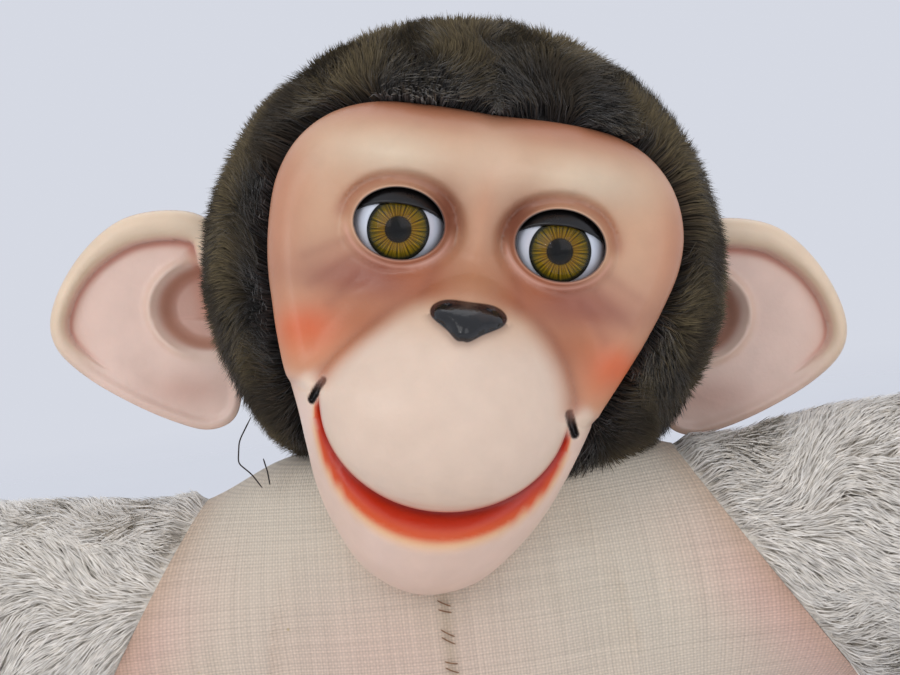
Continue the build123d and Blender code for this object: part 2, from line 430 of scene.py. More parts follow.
def muslin(name):
    """Plain weave: threads follow the Weave attributes, which run across and up the cloth in metres."""
    n = Nodes(name, Sheen_Weight=0.25, Sheen_Roughness=0.6, IOR=1.4, Specular_IOR_Level=0.2)
    across, up = n.attribute("WeaveU", "Fac"), n.attribute("WeaveV", "Fac")
    turn = FULL_TURN / WEAVE_PITCH
    drift = n.ramp(n.noise(60, 2), 0, 1, -2.6, 2.6)
    u = n.math("ADD", n.math("MULTIPLY", across, turn), drift)
    v = n.math("ADD", n.math("MULTIPLY", up, turn), drift)
    half_u, half_v = n.math("MULTIPLY", u, 0.5), n.math("MULTIPLY", v, 0.5)
    warp = n.math("ABSOLUTE", n.math("SINE", half_u))
    weft = n.math("ABSOLUTE", n.math("SINE", half_v))
    over = n.math("MULTIPLY", n.math("SINE", half_u), n.math("SINE", half_v))
    both = n.math("MULTIPLY", n.math("ADD", warp, weft), 0.42)
    threads = n.math("ADD", both, n.math("MULTIPLY", over, 0.2))
    slubs = []
    for scale_u, scale_v in ((SLUB_SHORT, SLUB_LONG), (SLUB_LONG, SLUB_SHORT)):
        stretch = n.add("ShaderNodeCombineXYZ", X=n.math("MULTIPLY", across, scale_u),
                        Y=n.math("MULTIPLY", up, scale_v))
        slubs.append(n.noise(1, 2, stretch.outputs[0]))
    slub = n.math("ADD", *slubs)
    lit = n.math("ADD", n.ramp(threads, 0.15, 0.95, 0.80, 1.06), n.ramp(slub, 0.7, 1.3, -0.08, 0.08))
    stains = n.ramp(n.noise(26, 4), 0.5, 0.8, 0.0, 0.4)
    stained = n.blend(n.attribute("Paint"), srgb(208, 190, 160), stains)
    spots = n.ramp(n.noise(210, 2), 0.755, 0.80, 0.0, 0.8)
    n.colour(n.shaded(n.blend(stained, srgb(186, 160, 84), spots), lit))
    n.rough(0.9)
    n.relief(n.math("ADD", threads, n.math("MULTIPLY", slub, 0.5)), 0.00022, 0.9)
    return n.material


def cloth_plain(name, colour, scale=900):
    n = Nodes(name, Roughness=0.9, Sheen_Weight=0.2)
    fibre = n.noise(scale, 3)
    tone = n.ramp(fibre, 0.3, 0.7, 0.0, 1.0)
    n.colour(n.blend(colour * 0.7, colour * 1.15, tone))
    n.relief(fibre, 0.0003, 0.8)
    return n.material


def plain(name, colour, roughness, metallic=0.0, noise_scale=300):
    n = Nodes(name, Metallic=metallic)
    grain = n.noise(noise_scale, 3)
    n.colour(n.blend(colour * 0.85, colour * 1.1, grain))
    n.rough(n.ramp(grain, 0.3, 0.7, roughness * 0.8, min(1.0, roughness * 1.2)))
    n.relief(grain, 0.00005, 0.4)
    return n.material


VINYL = vinyl("sprayed_vinyl")
HOOD_PILE = pile("hood_pile", 0.25)
ARM_PILE = pile("arm_pile", 0.5)
MUSLIN = muslin("muslin")
BACKING = cloth_plain("hood_backing", srgb(26, 19, 15))
PLUSH_BACKING = cloth_plain("plush_backing", srgb(232, 223, 208))
WADDING = cloth_plain("wadding", srgb(226, 220, 206), 400)
THREAD = cloth_plain("thread", srgb(142, 106, 76), 1500)
DARK_THREAD = cloth_plain("dark_thread", srgb(38, 26, 22), 1500)
TAPE = cloth_plain("tape", srgb(150, 132, 112), 1200)
STEEL = plain("steel", srgb(170, 170, 172), 0.3, 1.0)
LEAD = plain("lead", srgb(86, 88, 92), 0.6, 0.9)
SOCKET = plain("socket", srgb(22, 19, 18), 0.5)

# ---------------------------------------------------------------- the face

FACE_EDGE = [(x - (2.6 if x > 0 else 1.3) * math.exp(-(((z + 21) / 14) ** 2)), z) for x, z in mirrored([
    (0, 26.4), (15, 26.7), (26.5, 25.9), (35.5, 22.4), (42, 16.0), (45.4, 7.6), (45.8, -1.5), (44, -12),
    (40.6, -22.5), (36.4, -32), (32.0, -41), (28.6, -50), (25.2, -59), (20.4, -67), (12, -76), (0, -80),
])]
EYE_RX, EYE_RZ = 9.7, 7.7
LID_R = 12.7
MUZZLE_Z, MUZZLE_RX, MUZZLE_UP, MUZZLE_DOWN = -36.5, 26.5, 27.0, 22.3
UPPER_POWER = 1.45
NOSE_EDGE = mirrored([
    (0, -14.4), (5.0, -14.6), (7.8, -16.2), (7.6, -18.4), (3.8, -20.7), (1.4, -22.4), (0, -22.5),
])
CREASES = (  # laughter lines at the outer corners and beside the nose: (from, to), depth
    (((28.5, -5.0), (37.0, -9.5)), 0.7),
    (((27.0, -9.0), (35.0, -15.5)), 0.7),
    (((24.5, -12.0), (30.0, -19.0)), 0.5),
    (((8.8, -8.0), (10.4, -14.5)), 0.8),
)
FEATURES = (  # swellings and hollows of the skin: rise, (place, half width) across, (place, half height) up
    (3.6, (19, 13), (14.5, 6.0)),  # brows
    (1.8, (0, 6.5), (13, 9)),  # forehead between them
    (-2.6, (17.6, 14), (-1, 9)),  # eye sockets
    (-2.2, (7.0, 4.0), (1, 7)),  # inner corners
    (1.4, (0, 4.0), (-2, 9)),  # bridge of the nose
    (2.8, (31, 8.5), (-24, 7.5)),  # cheeks
    (1.1, (20, 10), (-12.2, 2.6)),  # bags under the eyes
    (-1.0, (22, 11), (-16.2, 1.5)),  # and the fold below them
)
CORNER = (28.7, -37.0)
SLIT = ((26.3, -35.0), (28.3, -39.6))


def muzzle_radius(x, z):
    """1 on the muzzle's edge: the smile below, the creases from nose to mouth corners above."""
    up = z > MUZZLE_Z
    p = np.where(up, UPPER_POWER, 2.0)
    h = np.where(up, MUZZLE_UP, MUZZLE_DOWN)
    return (np.abs(x / MUZZLE_RX) ** p + np.abs((z - MUZZLE_Z) / h) ** p) ** (1 / p)


def smile(x, z):
    """(distance out from the upper lip, width of the open smile, how open it is) in millimetres."""
    r = muzzle_radius(x, z)
    away = np.hypot(x, z - MUZZLE_Z) * (1 - 1 / np.maximum(r, 1e-6))
    turn = np.arctan2(np.abs(x), np.maximum(MUZZLE_Z - z, 1e-6))
    openness = np.clip(np.cos(turn), 0, 1)
    return away, 1.0 + 6.2 * openness**1.3, openness**0.6


def face_height(x, z, nose_in):
    """How far the face stands in front of the eyes' pivots."""
    ax = np.abs(x)
    skin = 10.2 - x * x / 150 - 0.010 * np.maximum(z - 8, 0) ** 2
    for rise, (at_x, half_width), (at_z, half_height) in FEATURES:
        skin += rise * bump((ax - at_x) / half_width, (z - at_z) / half_height)
    for crease, depth in CREASES:
        skin -= depth * gauss(segment_distance(ax, z, *crease), 1.0)
    lid_ring = eye_ring(x, z)
    lid = np.sqrt(np.maximum(LID_R**2 - (ax - EYE_GAP) ** 2 - (z + EYE_DROP) ** 2, 0.0))
    skin = skin + (lid - skin) * smoothstep(1.55, 1.04, lid_ring)
    skin += 0.5 * gauss(lid_ring - 1.07, 0.04)
    skin += 0.8 * gauss(lid_ring - 1.22, 0.07) * smoothstep(1, -3, z)
    skin -= 0.6 * gauss(lid_ring - 1.34, 0.05) * smoothstep(1, 4, z)

    jaw = 26 * np.sqrt(np.clip(1 - (x / 36) ** 2 - ((z + 47) / 45) ** 2, 0, 1)) - 2
    flesh = smooth_max(skin, jaw, 4.0)
    r = muzzle_radius(x, z)
    mound = 12 + 19.5 * np.sqrt(np.clip(1 - (r / 1.06) ** 2, 0, 1)) - 6 * (z - MUZZLE_Z) / 26
    above = smooth_max(flesh, mound, 4.5)

    away, width, opened = smile(x, z)
    lip = np.maximum(mound, jaw + 1.6) - 1.3 * np.exp(-np.maximum(-away, 0) / 0.9)
    groove = jaw - 3.4 * opened * gauss(away, 0.5 * width)
    groove += 0.9 * opened * gauss(away - width - 1.4, 2.2)
    below = np.where(r < 1, lip, groove)
    low = smoothstep(-35.5, -38.5, z)
    height = above * (1 - low) + below * low

    corner = np.hypot(ax - CORNER[0], (z - CORNER[1]) * 0.85)
    height += 3.0 * gauss(corner, 3.0)
    slit = segment_distance(ax, z, *SLIT)
    height -= 2.2 * gauss(slit, 0.75)
    height += 2.6 * (1 - np.exp(-np.maximum(nose_in, 0) / 1.1))
    height -= 0.7 * bump((ax - 4.4) / 1.7, (z + 19.6) / 1.2) * (nose_in > 0)
    height += 1.3 * bump(x / 7.5, (z + 17) / 7)
    return height


def edge_roll(z, depth):
    """How far the face falls back near its edge, a quarter round: tight at the hood, full at the chin."""
    radius = 5.0 + 9.0 * smoothstep(-38, -66, z)
    t = np.clip(depth / radius, 0, 1)
    return radius * (1 - np.sqrt(1 - (1 - t) ** 2)) + 1.5 * (1 - t) * (z > -38)


def face_paint(x, z, nose_in):
    """(linear colours, gloss) of the sprayed face. Some layers are painted light: shade in the hollows and creases
    round the eyes, nose and muzzle, and highlights on the brows and lower lids.
    """
    ax = np.abs(x)
    away, width, _ = smile(x, z)
    r = muzzle_radius(x, z)
    ring = eye_ring(x, z)
    c = coated(flat_colour(len(x), (210, 164, 130)), [
        ((170, 100, 66), 0.85 * smoothstep(17, 26, z + 0.02 * ax)),
        ((190, 122, 90), 0.65 * smoothstep(34, 45, ax) * smoothstep(-44, -14, z)),
        # lighter cream on the brow ridges: cream paint with a painted highlight where the ridges rise
        ((224, 198, 168), 0.97 * bump((ax - 21) / 15, (z - 14.5) / 5.6)),
        ((222, 190, 160), 0.80 * bump(x / 6.5, (z - 14) / 8)),
        # darker arch in the groove above each lid: brown paint deepened by painted shade under the brow
        ((168, 104, 76), 0.70 * gauss(ring - 1.27, 0.2) * smoothstep(-2, 2, z)),
        # dark inner corners of the eyes: brown paint deepened by painted shade in their hollows
        ((130, 72, 54), 0.90 * bump((ax - 8.8) / 4.6, (z - 1.0) / 8)),
        ((200, 142, 108), 0.65 * bump(x / 3.4, (z - 5) / 8)),
        ((158, 92, 72), 0.92 * bump((ax - 21) / 16, (z + 12) / 7.0)),
        # darker band along the fold under the bags: painted shade
        ((140, 80, 66), 0.50 * bump((ax - 27) / 12, (z + 13.5) / 3)),
        ((178, 102, 62), 0.80 * bump((ax - 23) / 14, (z + 21.5) / 6.5)),
        ((172, 98, 62), 0.85 * bump((ax - 10) / 7, (z + 12) / 8)),
        ((186, 124, 86), 0.85 * bump(x / 6.0, (z + 9) / 6.5)),
        ((228, 78, 0), 0.82 * bump((ax - 34) / 6.2, (z + 25.5) / 4.6)),
        ((212, 122, 74), 0.60 * bump((ax - 33) / 9, (z + 29) / 7)),
        ((238, 206, 186), smoothstep(-33, -40.5, z)),
        # darker line along the crease at the muzzle's top: painted shade in the crease
        ((146, 82, 54), 0.45 * gauss(r - 1.05, 0.06) * smoothstep(-40, -34, z) * smoothstep(-12, -20, z)),
        # darker along the laughter lines: painted shade in the creases
        *(((140, 80, 62), 0.22 * gauss(segment_distance(ax, z, *line), 1.3)) for line, _ in CREASES),
    ])
    muzzle = coated(flat_colour(len(x), (230, 203, 180)), [((212, 172, 138), smoothstep(-27, -13, z))])
    within = np.where(z > -37, smoothstep(1.08, 0.84, r), (r < 1) * 1.0)
    within = within * smoothstep(-12, -19, z - 0.05 * ax)
    c = mix(c, muzzle, within)
    t = away / width
    smiling = (r >= 1) & (z < -37.0)
    reds = coated(flat_colour(len(x), (148, 20, 0)), [
        ((200, 44, 0), smoothstep(0.0, 0.35, t)),
        ((218, 80, 14), smoothstep(0.4, 0.8, t)),
        ((236, 186, 140), smoothstep(0.78, 1.05, t)),
    ])
    c = mix(c, reds, np.where(smiling, 1 - smoothstep(0.95, 1.35, t), 0.0))
    corner = np.hypot(ax - CORNER[0], z - CORNER[1])
    slit = segment_distance(ax, z, *SLIT)
    c = coated(c, [
        ((196, 70, 34), 0.8 * (gauss(away, 0.45) * (z < -37.5) * (r < 1))),
        ((240, 212, 186), np.exp(-((corner / 3.4) ** 4))),
        ((24, 19, 17), smoothstep(1.15, 0.75, slit)),
        ((196, 132, 104), 0.6 * gauss(np.hypot(ax - 27.2, z + 34.0), 2.0)),
        # near-black ring at the edge of each eye hole, heavier along the top: painted shade of the gap round the
        # eye
        ((30, 18, 14), smoothstep(1.045, 1.01, ring) * np.where(z > -2, 1.0, 0.75)),
        # lighter pink on the ridge under each eye: painted highlight
        ((226, 172, 152), 0.55 * gauss(ring - 1.21, 0.06) * smoothstep(0, -3, z)),
        # darker skin round the lower half of the nose: painted shade under it
        ((120, 84, 66), 0.5 * gauss(np.minimum(nose_in, 0), 1.2) * (z < -18)),
    ])
    nose = smoothstep(-0.15, 0.15, nose_in)
    glint = 0.6 * bump(x / 5.5, (z + 23.2) / 0.9)
    black = coated(flat_colour(len(x), (20, 20, 22)), [((92, 84, 82), glint)])
    c = c * (1 - nose[:, None]) + black * nose[:, None]
    gloss = 0.95 * nose + 0.1 * smiling * (t < 1.2) + 0.3 * gauss(ring - 1.12, 0.07)
    gloss += 0.12 * (z < -24) * (r < 1.1)
    return c, np.clip(gloss, 0, 1)


def ring_points(curve, offset):
    """The closed curve moved inwards."""
    tangent = np.roll(curve, -1, axis=0) - np.roll(curve, 1, axis=0)
    normal = np.stack([tangent[:, 1], -tangent[:, 0]], 1)
    normal /= np.linalg.norm(normal, axis=1)[:, None]
    return curve + normal * offset


def by_corner(points):
    """Whether flat points lie in the finely meshed squares at the mouth's corners."""
    return (np.abs(np.abs(points[:, 0]) - 28) < 4.2) & (np.abs(points[:, 1] + 37.75) < 5.4)


def eye_ring(x, z):
    """1 on the edge of an eye hole, more outside it."""
    return np.hypot((np.abs(x) - EYE_GAP) / EYE_RX, z / EYE_RZ)


def inset_rings(curve, depths):
    """The curve moved inwards by each depth."""
    inward = 1.0 if inside(curve, *ring_points(curve, 0.5)[:1].T)[0] > 0 else -1.0
    return [ring_points(curve, inward * d) for d in depths]


def eye_rings():
    turn = np.linspace(0, FULL_TURN, 130, endpoint=False)
    return [np.stack([side * EYE_GAP + s * EYE_RX * np.cos(turn), s * EYE_RZ * np.sin(turn)], 1)
            for side in (1, -1) for s in (1.0, 1.02, 1.045, 1.075, 1.11, 1.15, 1.2, 1.27)]


def mouth_points():
    """Points close along the smile, and in a fine patch at each of its corners."""
    turn = np.linspace(0, FULL_TURN, 330, endpoint=False)
    c, d = np.cos(turn), np.sin(turn)
    rim = 1 / muzzle_radius(c * MUZZLE_RX, MUZZLE_Z + d * MUZZLE_DOWN)
    found = []
    for s in (0.955, 0.975, 0.988, 0.997, 1.003, 1.012, 1.025, 1.045):
        x, z = c * MUZZLE_RX * rim * s, MUZZLE_Z + d * MUZZLE_DOWN * rim * s
        found.append(np.stack([x, z], 1)[z < MUZZLE_Z + 4])
    patch = np.stack(np.meshgrid(np.arange(24.0, 32.0, 0.3), np.arange(-43.0, -32.5, 0.3)), -1)
    patch = patch.reshape(-1, 2)
    patch = patch[np.abs(smile(*patch.T)[0]) > 0.9]
    return found, [patch, patch * (-1, 1)]


def face_points(edge, nose):
    """Flat points for the mask, its outline first: close where the relief is fine, loose elsewhere."""
    rims = inset_rings(edge, (0.0, 0.12, 0.4, 0.8, 1.4, 2.1, 3.0, 4.1, 5.4, 7.0))
    lips, corners = mouth_points()
    fine = lips + inset_rings(nose, (-0.5, -0.2, 0.15, 0.5, 1.0)) + corners
    fine = [q[inside(edge, *q.T) > 0.7] for q in fine]
    clear = [q[~((np.abs(smile(*q.T)[0]) < 1.5) & (q[:, 1] < -32.5)) & ~by_corner(q)] for q in rims[3:]]
    gx, gz = np.meshgrid(np.arange(-44, 44, FACE_CELL), np.arange(-80, 27, FACE_CELL))
    jitter = np.random.default_rng(SEED).uniform(-0.12, 0.12, (gx.size, 2))
    grid = np.stack([gx.ravel(), gz.ravel()], 1) + jitter
    grid = grid[(inside(edge, *grid.T) > 7.4) & (eye_ring(*grid.T) > 1.3)]
    near_mouth = (np.abs(muzzle_radius(*grid.T) - 1) * 26 < 1.5) & (grid[:, 1] < -33)
    nose_in = inside(nose, *grid.T)
    grid = grid[~by_corner(grid) & ~near_mouth & ~((nose_in > -0.75) & (nose_in < 1.3))]
    return np.concatenate(rims[:3] + clear + eye_rings() + fine + [grid])


FACE_CELL = 0.62


def make_face():
    edge = closed_curve(FACE_EDGE, 420)
    nose = closed_curve(NOSE_EDGE, 120)
    outline = [(i, (i + 1) % len(edge)) for i in range(len(edge))]
    cells = delaunay_2d_cdt([Vector(p) for p in face_points(edge, nose)], outline, [], 1, 1e-5)
    flat = np.array([tuple(v) for v in cells[0]])
    faces = np.array([f for f in cells[2] if len(f) == 3], int)
    faces = faces[eye_ring(*flat[faces].mean(1).T) > 0.999]
    x, z = flat.T
    depth = np.maximum(inside(edge, x, z), 0)
    y = -(face_height(x, z, inside(nose, x, z)) - edge_roll(z, depth))
    mesh = make_mesh("face_mask_vinyl", np.stack([x, y, z], 1), faces, VINYL)
    with edited(mesh) as bm:
        drop_loose(bm)
        wall_edges(bm)
        bmesh.ops.recalc_face_normals(bm, faces=bm.faces)
    q = points_of(mesh)
    colours, gloss = face_paint(q[:, 0], q[:, 2], inside(nose, q[:, 0], q[:, 2]))
    # the walls turned back into the eye holes are near-black: painted shade inside the holes
    colours[eye_ring(q[:, 0], q[:, 2]) < 0.995] = srgb(22, 14, 12)
    paint(mesh.data, "Paint", colours)
    add_values(mesh, "Gloss", gloss)
    q[:, 0] = askew(q[:, 0], q[:, 2]) - MUZZLE_TURN * np.maximum(-q[:, 1] - 12, 0)
    set_points(mesh, place(MASK, q))
    for poly in mesh.data.polygons:
        poly.use_smooth = True
    front_out(mesh, -FACE[:3, 1])
    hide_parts("face_mask", "muzzle_pad")
    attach(mesh, "head")


EYE_WALL_STEP = 0.2  # short, so that the lids roll down behind the wall without touching it
CHIN_TOP, CHIN_PULL, MUZZLE_MIDDLE = -40, 0.045, -36


def wall_edges(bm):
    """Turns the open edges back: the eye holes into the head, the outer edge under the hood and the chin."""
    for _ in range(3):
        boundary = [e for e in bm.edges if e.is_boundary]
        made = bmesh.ops.extrude_edge_only(bm, edges=boundary)
        for v in (g for g in made["geom"] if isinstance(g, bmesh.types.BMVert)):
            x, z = v.co.x / MM, v.co.z / MM
            chin = z < CHIN_TOP
            if eye_ring(x, z) < 1.3:
                v.co.y += EYE_WALL_STEP * MM
            else:
                pull = CHIN_PULL if chin else 0.0
                v.co.x -= x * pull * MM
                v.co.z -= (z - MUZZLE_MIDDLE) * pull * 0.5 * MM
                v.co.y += (3.4 if chin else 2.4) * MM


def front_out(obj, direction):
    """Flips the mesh if most of it faces away from the direction."""
    normals = np.empty(len(obj.data.polygons) * 3, np.float32)
    obj.data.polygons.foreach_get("normal", normals)
    if (normals.reshape(-1, 3) @ np.asarray(direction)).sum() < 0:
        obj.data.flip_normals()


# ---------------------------------------------------------------- sleep eyes


def dome(radius, start_deg, end_deg, rings=40, turns=96, lift=0.0):
    """Part of a sphere about -Y, from one angle to another, closed at 0 degrees."""
    a = np.radians(np.linspace(start_deg, end_deg, rings))
    t = np.linspace(0, FULL_TURN, turns, endpoint=False)
    aa, tt = np.meshgrid(a, t, indexing="ij")
    grown = radius + lift * np.cos(aa) ** 6
    points = np.stack([np.sin(aa) * np.cos(tt), -np.cos(aa), np.sin(aa) * np.sin(tt)], -1)
    points *= grown[..., None]
    return points.reshape(-1, 3), grid_quads(rings, turns)


def eye_materials():
    white = Nodes("eye_white", Coat_Weight=0.8, Coat_Roughness=0.05, IOR=1.5)
    tint = white.noise(260, 3)
    white.colour(white.blend(srgb(208, 214, 226), srgb(232, 234, 240), tint))
    white.rough(0.2)
    amber = Nodes("iris_amber", Specular_IOR_Level=0.1)
    amber.colour(amber.attribute("Paint"))
    amber.rough(0.5)
    clear = Nodes("cornea_clear", Roughness=0.0, IOR=1.3, Transmission_Weight=1.0)
    lid = plain("eyelid_black", srgb(14, 11, 11), 0.32)
    return white.material, amber.material, clear.material, lid


EYEBALL_R, CORNEA_R, IRIS_R = 11.0, 11.02, 6.75
CORNEA_BULGE = 0.45
LID_OUTER_R, LID_INNER_R = 11.85, 11.15
IRIS_RAYS = ((37, 0.5), (53, 0.35), (24, 0.3), (83, 0.25))  # (rays round the iris, how strong)


def iris_shape():
    """A shallow printed dish with fine rays, in the eye's own frame."""
    rings, turns = 46, 360
    r = np.linspace(0, IRIS_R, rings)
    t = np.linspace(0, FULL_TURN, turns, endpoint=False)
    rr, tt = np.meshgrid(r, t, indexing="ij")
    rng = np.random.default_rng(SEED + 1)
    rays = sum(np.cos(k * tt + rng.uniform(0, 6.28)) * w for k, w in IRIS_RAYS)
    out = (rr - 2.6) / 4.0
    y = -7.5 - 0.9 * np.clip(out, 0, 1) - 0.10 * rays * (rr > 2.6) * np.clip(1.2 - out, 0, 1)
    y = np.where(rr < 2.45, -7.2, y)
    points = np.stack([rr * np.cos(tt), y, rr * np.sin(tt)], -1).reshape(-1, 3)
    x = (rays.ravel() + 1.4) / 2.8
    o, rad = out.ravel(), rr.ravel()
    c = coated(flat_colour(len(x), (66, 56, 6)), [
        ((214, 168, 10), np.clip(x * 1.5 - 0.3, 0, 1)),
        ((168, 112, 8), 0.4 * gauss(o - 0.15, 0.2)),
        ((92, 90, 14), 0.55 * smoothstep(0.4, 0.75, o)),
        ((42, 46, 32), smoothstep(0.70, 0.90, o)),
        ((20, 21, 17), smoothstep(0.92, 1.0, o)),
        ((40, 30, 12), smoothstep(2.85, 2.5, rad)),
        ((12, 10, 9), smoothstep(2.5, 1.4, rad)),
    ])
    return points, grid_quads(rings, turns), c


def make_eye(side, materials):
    white, amber, clear, black = materials
    name, body = SIDE[side], f"eye_{SIDE[side]}"
    at = FACE.copy()
    at[:3, 3] = EYE_LEFT if side > 0 else EYE_RIGHT
    cornea = dome(CORNEA_R, 0.0, 38.2, 30, 96, lift=CORNEA_BULGE)
    layers = (
        ("eyeball_white", "eyeball", "eye_white", white, dome(EYEBALL_R, 37.6, 118)),
        ("iris_printed", "iris", "iris", amber, iris_shape()),
        ("cornea_clear", "cornea", "cornea", clear, cornea),
        ("eyelid_shell", "eyelid", "eyelid", black, lid_shape()),
    )
    for piece, node, slot, material, (points, faces, *colours) in layers:
        obj = make_mesh(f"{piece}_{name}", place(at, points), faces, material, *colours)
        if slot != "eyelid":
            front_out(obj, -at[:3, 1])
        weld(obj)
        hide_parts(f"{node}_{name}")
        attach(obj, body)


def lid_shape():
    """The open lid: a double shell over the top of the eye, closed along its front edge."""
    rise = np.radians(np.linspace(29, 178, 70))
    across = np.radians(np.linspace(4, 176, 90))
    points = []
    aa, rr = np.meshgrid(across, rise, indexing="ij")
    for radius in (LID_OUTER_R, LID_INNER_R):
        x = -np.cos(aa) * radius
        ring = np.sin(aa) * radius
        points.append(np.stack([x, -np.cos(rr) * ring, np.sin(rr) * ring], -1).reshape(-1, 3))
    n, m = len(across), len(rise)
    outer = grid_quads(n, m, round_columns=False, flipped=True)
    inner = outer[:, ::-1] + n * m
    i = np.arange(n - 1)
    rim = np.stack([i * m, i * m + n * m, (i + 1) * m + n * m, (i + 1) * m], -1)
    return np.concatenate(points), np.concatenate([outer, inner, rim])


# ---------------------------------------------------------------- ears

EAR_EDGE = [
    (-18, 15), (-15.5, 22.6), (-9.5, 26.2), (0, 26.4), (8.5, 23.8), (16.2, 17.2), (22, 8.4), (24.6, 0),
    (23, -6.8), (17, -12.8), (7.4, -18.8), (-4.6, -24.4), (-13.5, -26.6), (-20, -23), (-21.5, -12),
    (-20.5, 2),
]
EAR_TILT = math.radians(-8.0)
EAR_WALL = 2.4
EAR_AT = {1: (69.4, 4.5, -14.5), -1: (75.2, 4.5, -12.2)}


def ear_frame(side):
    """The ear's own frame on the head: X outwards, Z up."""
    head_y = HEAD[:3, 1]
    turned = Matrix.Rotation(EAR_TILT, 3, Vector(head_y))
    x_axis = np.array(turned @ Vector(HEAD[:3, 0]))
    z_axis = np.array(turned @ Vector(HEAD[:3, 2]))
    m = frame_matrix(HEAD[:3, 3], x_axis, z_axis)
    centre = place(m, np.array([EAR_AT[side]]) * (side, 1, 1))[0]
    m[:3, 0] *= side
    m[:3, 3] = centre
    return m


def ear_relief(x, z, depth):
    """Y of the ear's front: a rolled rim, a shallow scapha and a deep concha by the head."""
    turn = np.arctan2(z, x + 4)
    rim_width = 4.2 + 2.8 * smoothstep(0.2, 1.4, turn)
    rim = smoothstep(-0.75, 0.05, turn)
    across = np.clip(depth / rim_width, 0, 1.6)
    y = 1.2 + 0.10 * np.maximum(20 - np.hypot(x, z), 0)
    y -= rim * 3.4 * np.sqrt(np.clip(1 - (2 * across - 1) ** 2, 0, 1)) * (across < 1)
    y += rim * 2.4 * np.exp(-np.maximum(depth - rim_width, 0) / 3.2) * (across >= 1)
    y -= (1 - rim) * 0.9 * gauss(depth - 1.4, 1.3)
    hollow = np.hypot((x + 13.5) / 12.8, (z - 3.0) / 10.6)
    y += 4.6 * smoothstep(1.03, 0.62, hollow)
    y -= 1.5 * gauss(hollow - 1.13, 0.11) * smoothstep(-12, -3, x)
    y += 1.6 * smoothstep(-6, -20, z) * smoothstep(4, -14, x)
    return y, rim, across, hollow


def make_ear(side):
    edge = closed_curve(EAR_EDGE, 260)
    centre = np.array([1.0, 0.0])
    rings = 78
    reach = np.linspace(0, 1, rings) ** 0.8
    flat = centre + (edge - centre)[None] * reach[:, None, None]
    x, z = flat[..., 0].ravel(), flat[..., 1].ravel()
    depth = np.maximum(inside(edge, x, z), 0)
    y, rim, across, hollow = ear_relief(x, z, depth)
    front = np.stack([x, y, z], 1)
    back = front.copy()
    back[:, 1] += EAR_WALL * np.sqrt(np.clip(1 - (1 - np.clip(depth / 1.6, 0, 1)) ** 2, 0, 1))
    faces = grid_quads(rings, len(edge))
    faces = np.concatenate([faces, faces[:, ::-1] + len(front)])
    c = coated(flat_colour(len(x), (240, 208, 190)), [
        ((238, 212, 180), 0.9 * (rim * smoothstep(1.1, 0.8, across))),
        # darker pink just inside the rolled rim: painted shade under the rim's edge
        ((216, 158, 140), 0.85 * rim * gauss(across - 1.12, 0.16)),
        # lighter ring on the ridge round the concha, darker bowl inside it and a darker band under its edge:
        # painted highlight and painted shade
        ((236, 204, 182), 0.7 * gauss(hollow - 1.14, 0.14)),
        ((222, 176, 156), 0.9 * smoothstep(1.02, 0.88, hollow)),
        ((196, 140, 114), 0.7 * gauss(hollow - 0.84, 0.12)),
        ((206, 154, 134), 0.5 * bump((x + 8) / 9, (z + 17) / 4)),
    ])
    behind = flat_colour(len(x), (226, 186, 160))
    points = place(ear_frame(side), np.concatenate([front, back]))
    obj = make_mesh(f"ear_vinyl_{SIDE[side]}", points, faces, VINYL, np.concatenate([c, behind]),
                    extra={"Gloss": np.full(2 * len(x), 0.1)})
    weld(obj)
    fix_normals(obj)
    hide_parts(f"ear_{SIDE[side]}")
    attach(obj, "head")


# ---------------------------------------------------------------- solid fields and their skins


def skin_of(field, low, high, cell, project=3):
    """Quads on the zero surface of a field(x, y, z), negative inside, all in millimetres."""
    low, high = np.asarray(low, float), np.asarray(high, float)
    shape = np.ceil((high - low) / cell).astype(int) + 1
    axes = [low[i] + cell * np.arange(shape[i]) for i in range(3)]
    grid = np.meshgrid(*axes, indexing="ij")
    values = field(*[g.astype(np.float32) for g in grid]).astype(np.float32)
    volume = openvdb.FloatGrid(float(abs(values).max()))
    volume.copyFromArray(values)
    points, quads = volume.convertToQuads(0.0)
    points = points.astype(float) * cell + low
    for _ in range(project):
        points = points - surface_step(field, points)
    return points, quads.astype(int)


def gradient(field, points, h=0.4):
    g = np.empty_like(points)
    for i in range(3):
        step = np.zeros(3)
        step[i] = h
        g[:, i] = (field(*(points + step).T) - field(*(points - step).T)) / (2 * h)
    return g


def surface_step(field, points):
    g = gradient(field, points)
    d = field(*points.T) / np.maximum((g * g).sum(1), 1e-3)
    return np.clip(d[:, None] * g, -1.5, 1.5)


def normals_of(field, points):
    g = gradient(field, points)
    return g / np.maximum(np.linalg.norm(g, axis=1), 1e-9)[:, None]


def cut(obj, plane_point, plane_normal):
    """Keeps the side that the normal points away from."""
    with edited(obj) as bm:
        geometry = bm.verts[:] + bm.edges[:] + bm.faces[:]
        bmesh.ops.bisect_plane(bm, geom=geometry, plane_co=Vector(plane_point) * MM,
                               plane_no=Vector(plane_normal), clear_outer=True)


# ---------------------------------------------------------------- cloth body

SECTIONS = np.array([  # height, half width, half depth, middle in Y from the spine
    (0, 52, 24, 28), (12, 62, 28, 28), (28, 68, 34, 24), (50, 69, 42, 14), (75, 67, 46, 9),
    (100, 63, 45.5, 6), (125, 58, 42.5, 3), (150, 56, 40.5, 1), (170, 57, 38, 0), (188, 51, 34, 0),
    (205, 34, 26, 0),
], float)
ARM_TUBE = np.array([(-20, 27), (0, 29.6), (30, 31), (70, 30.2), (110, 26.5), (136, 20.5), (150, 17)], float)
LEG_TUBE = np.array([(-20, 24), (0, 26.0), (30, 27.8), (70, 27.6), (115, 25), (142, 21), (156, 17)], float)
NECK_TOP = 196.5


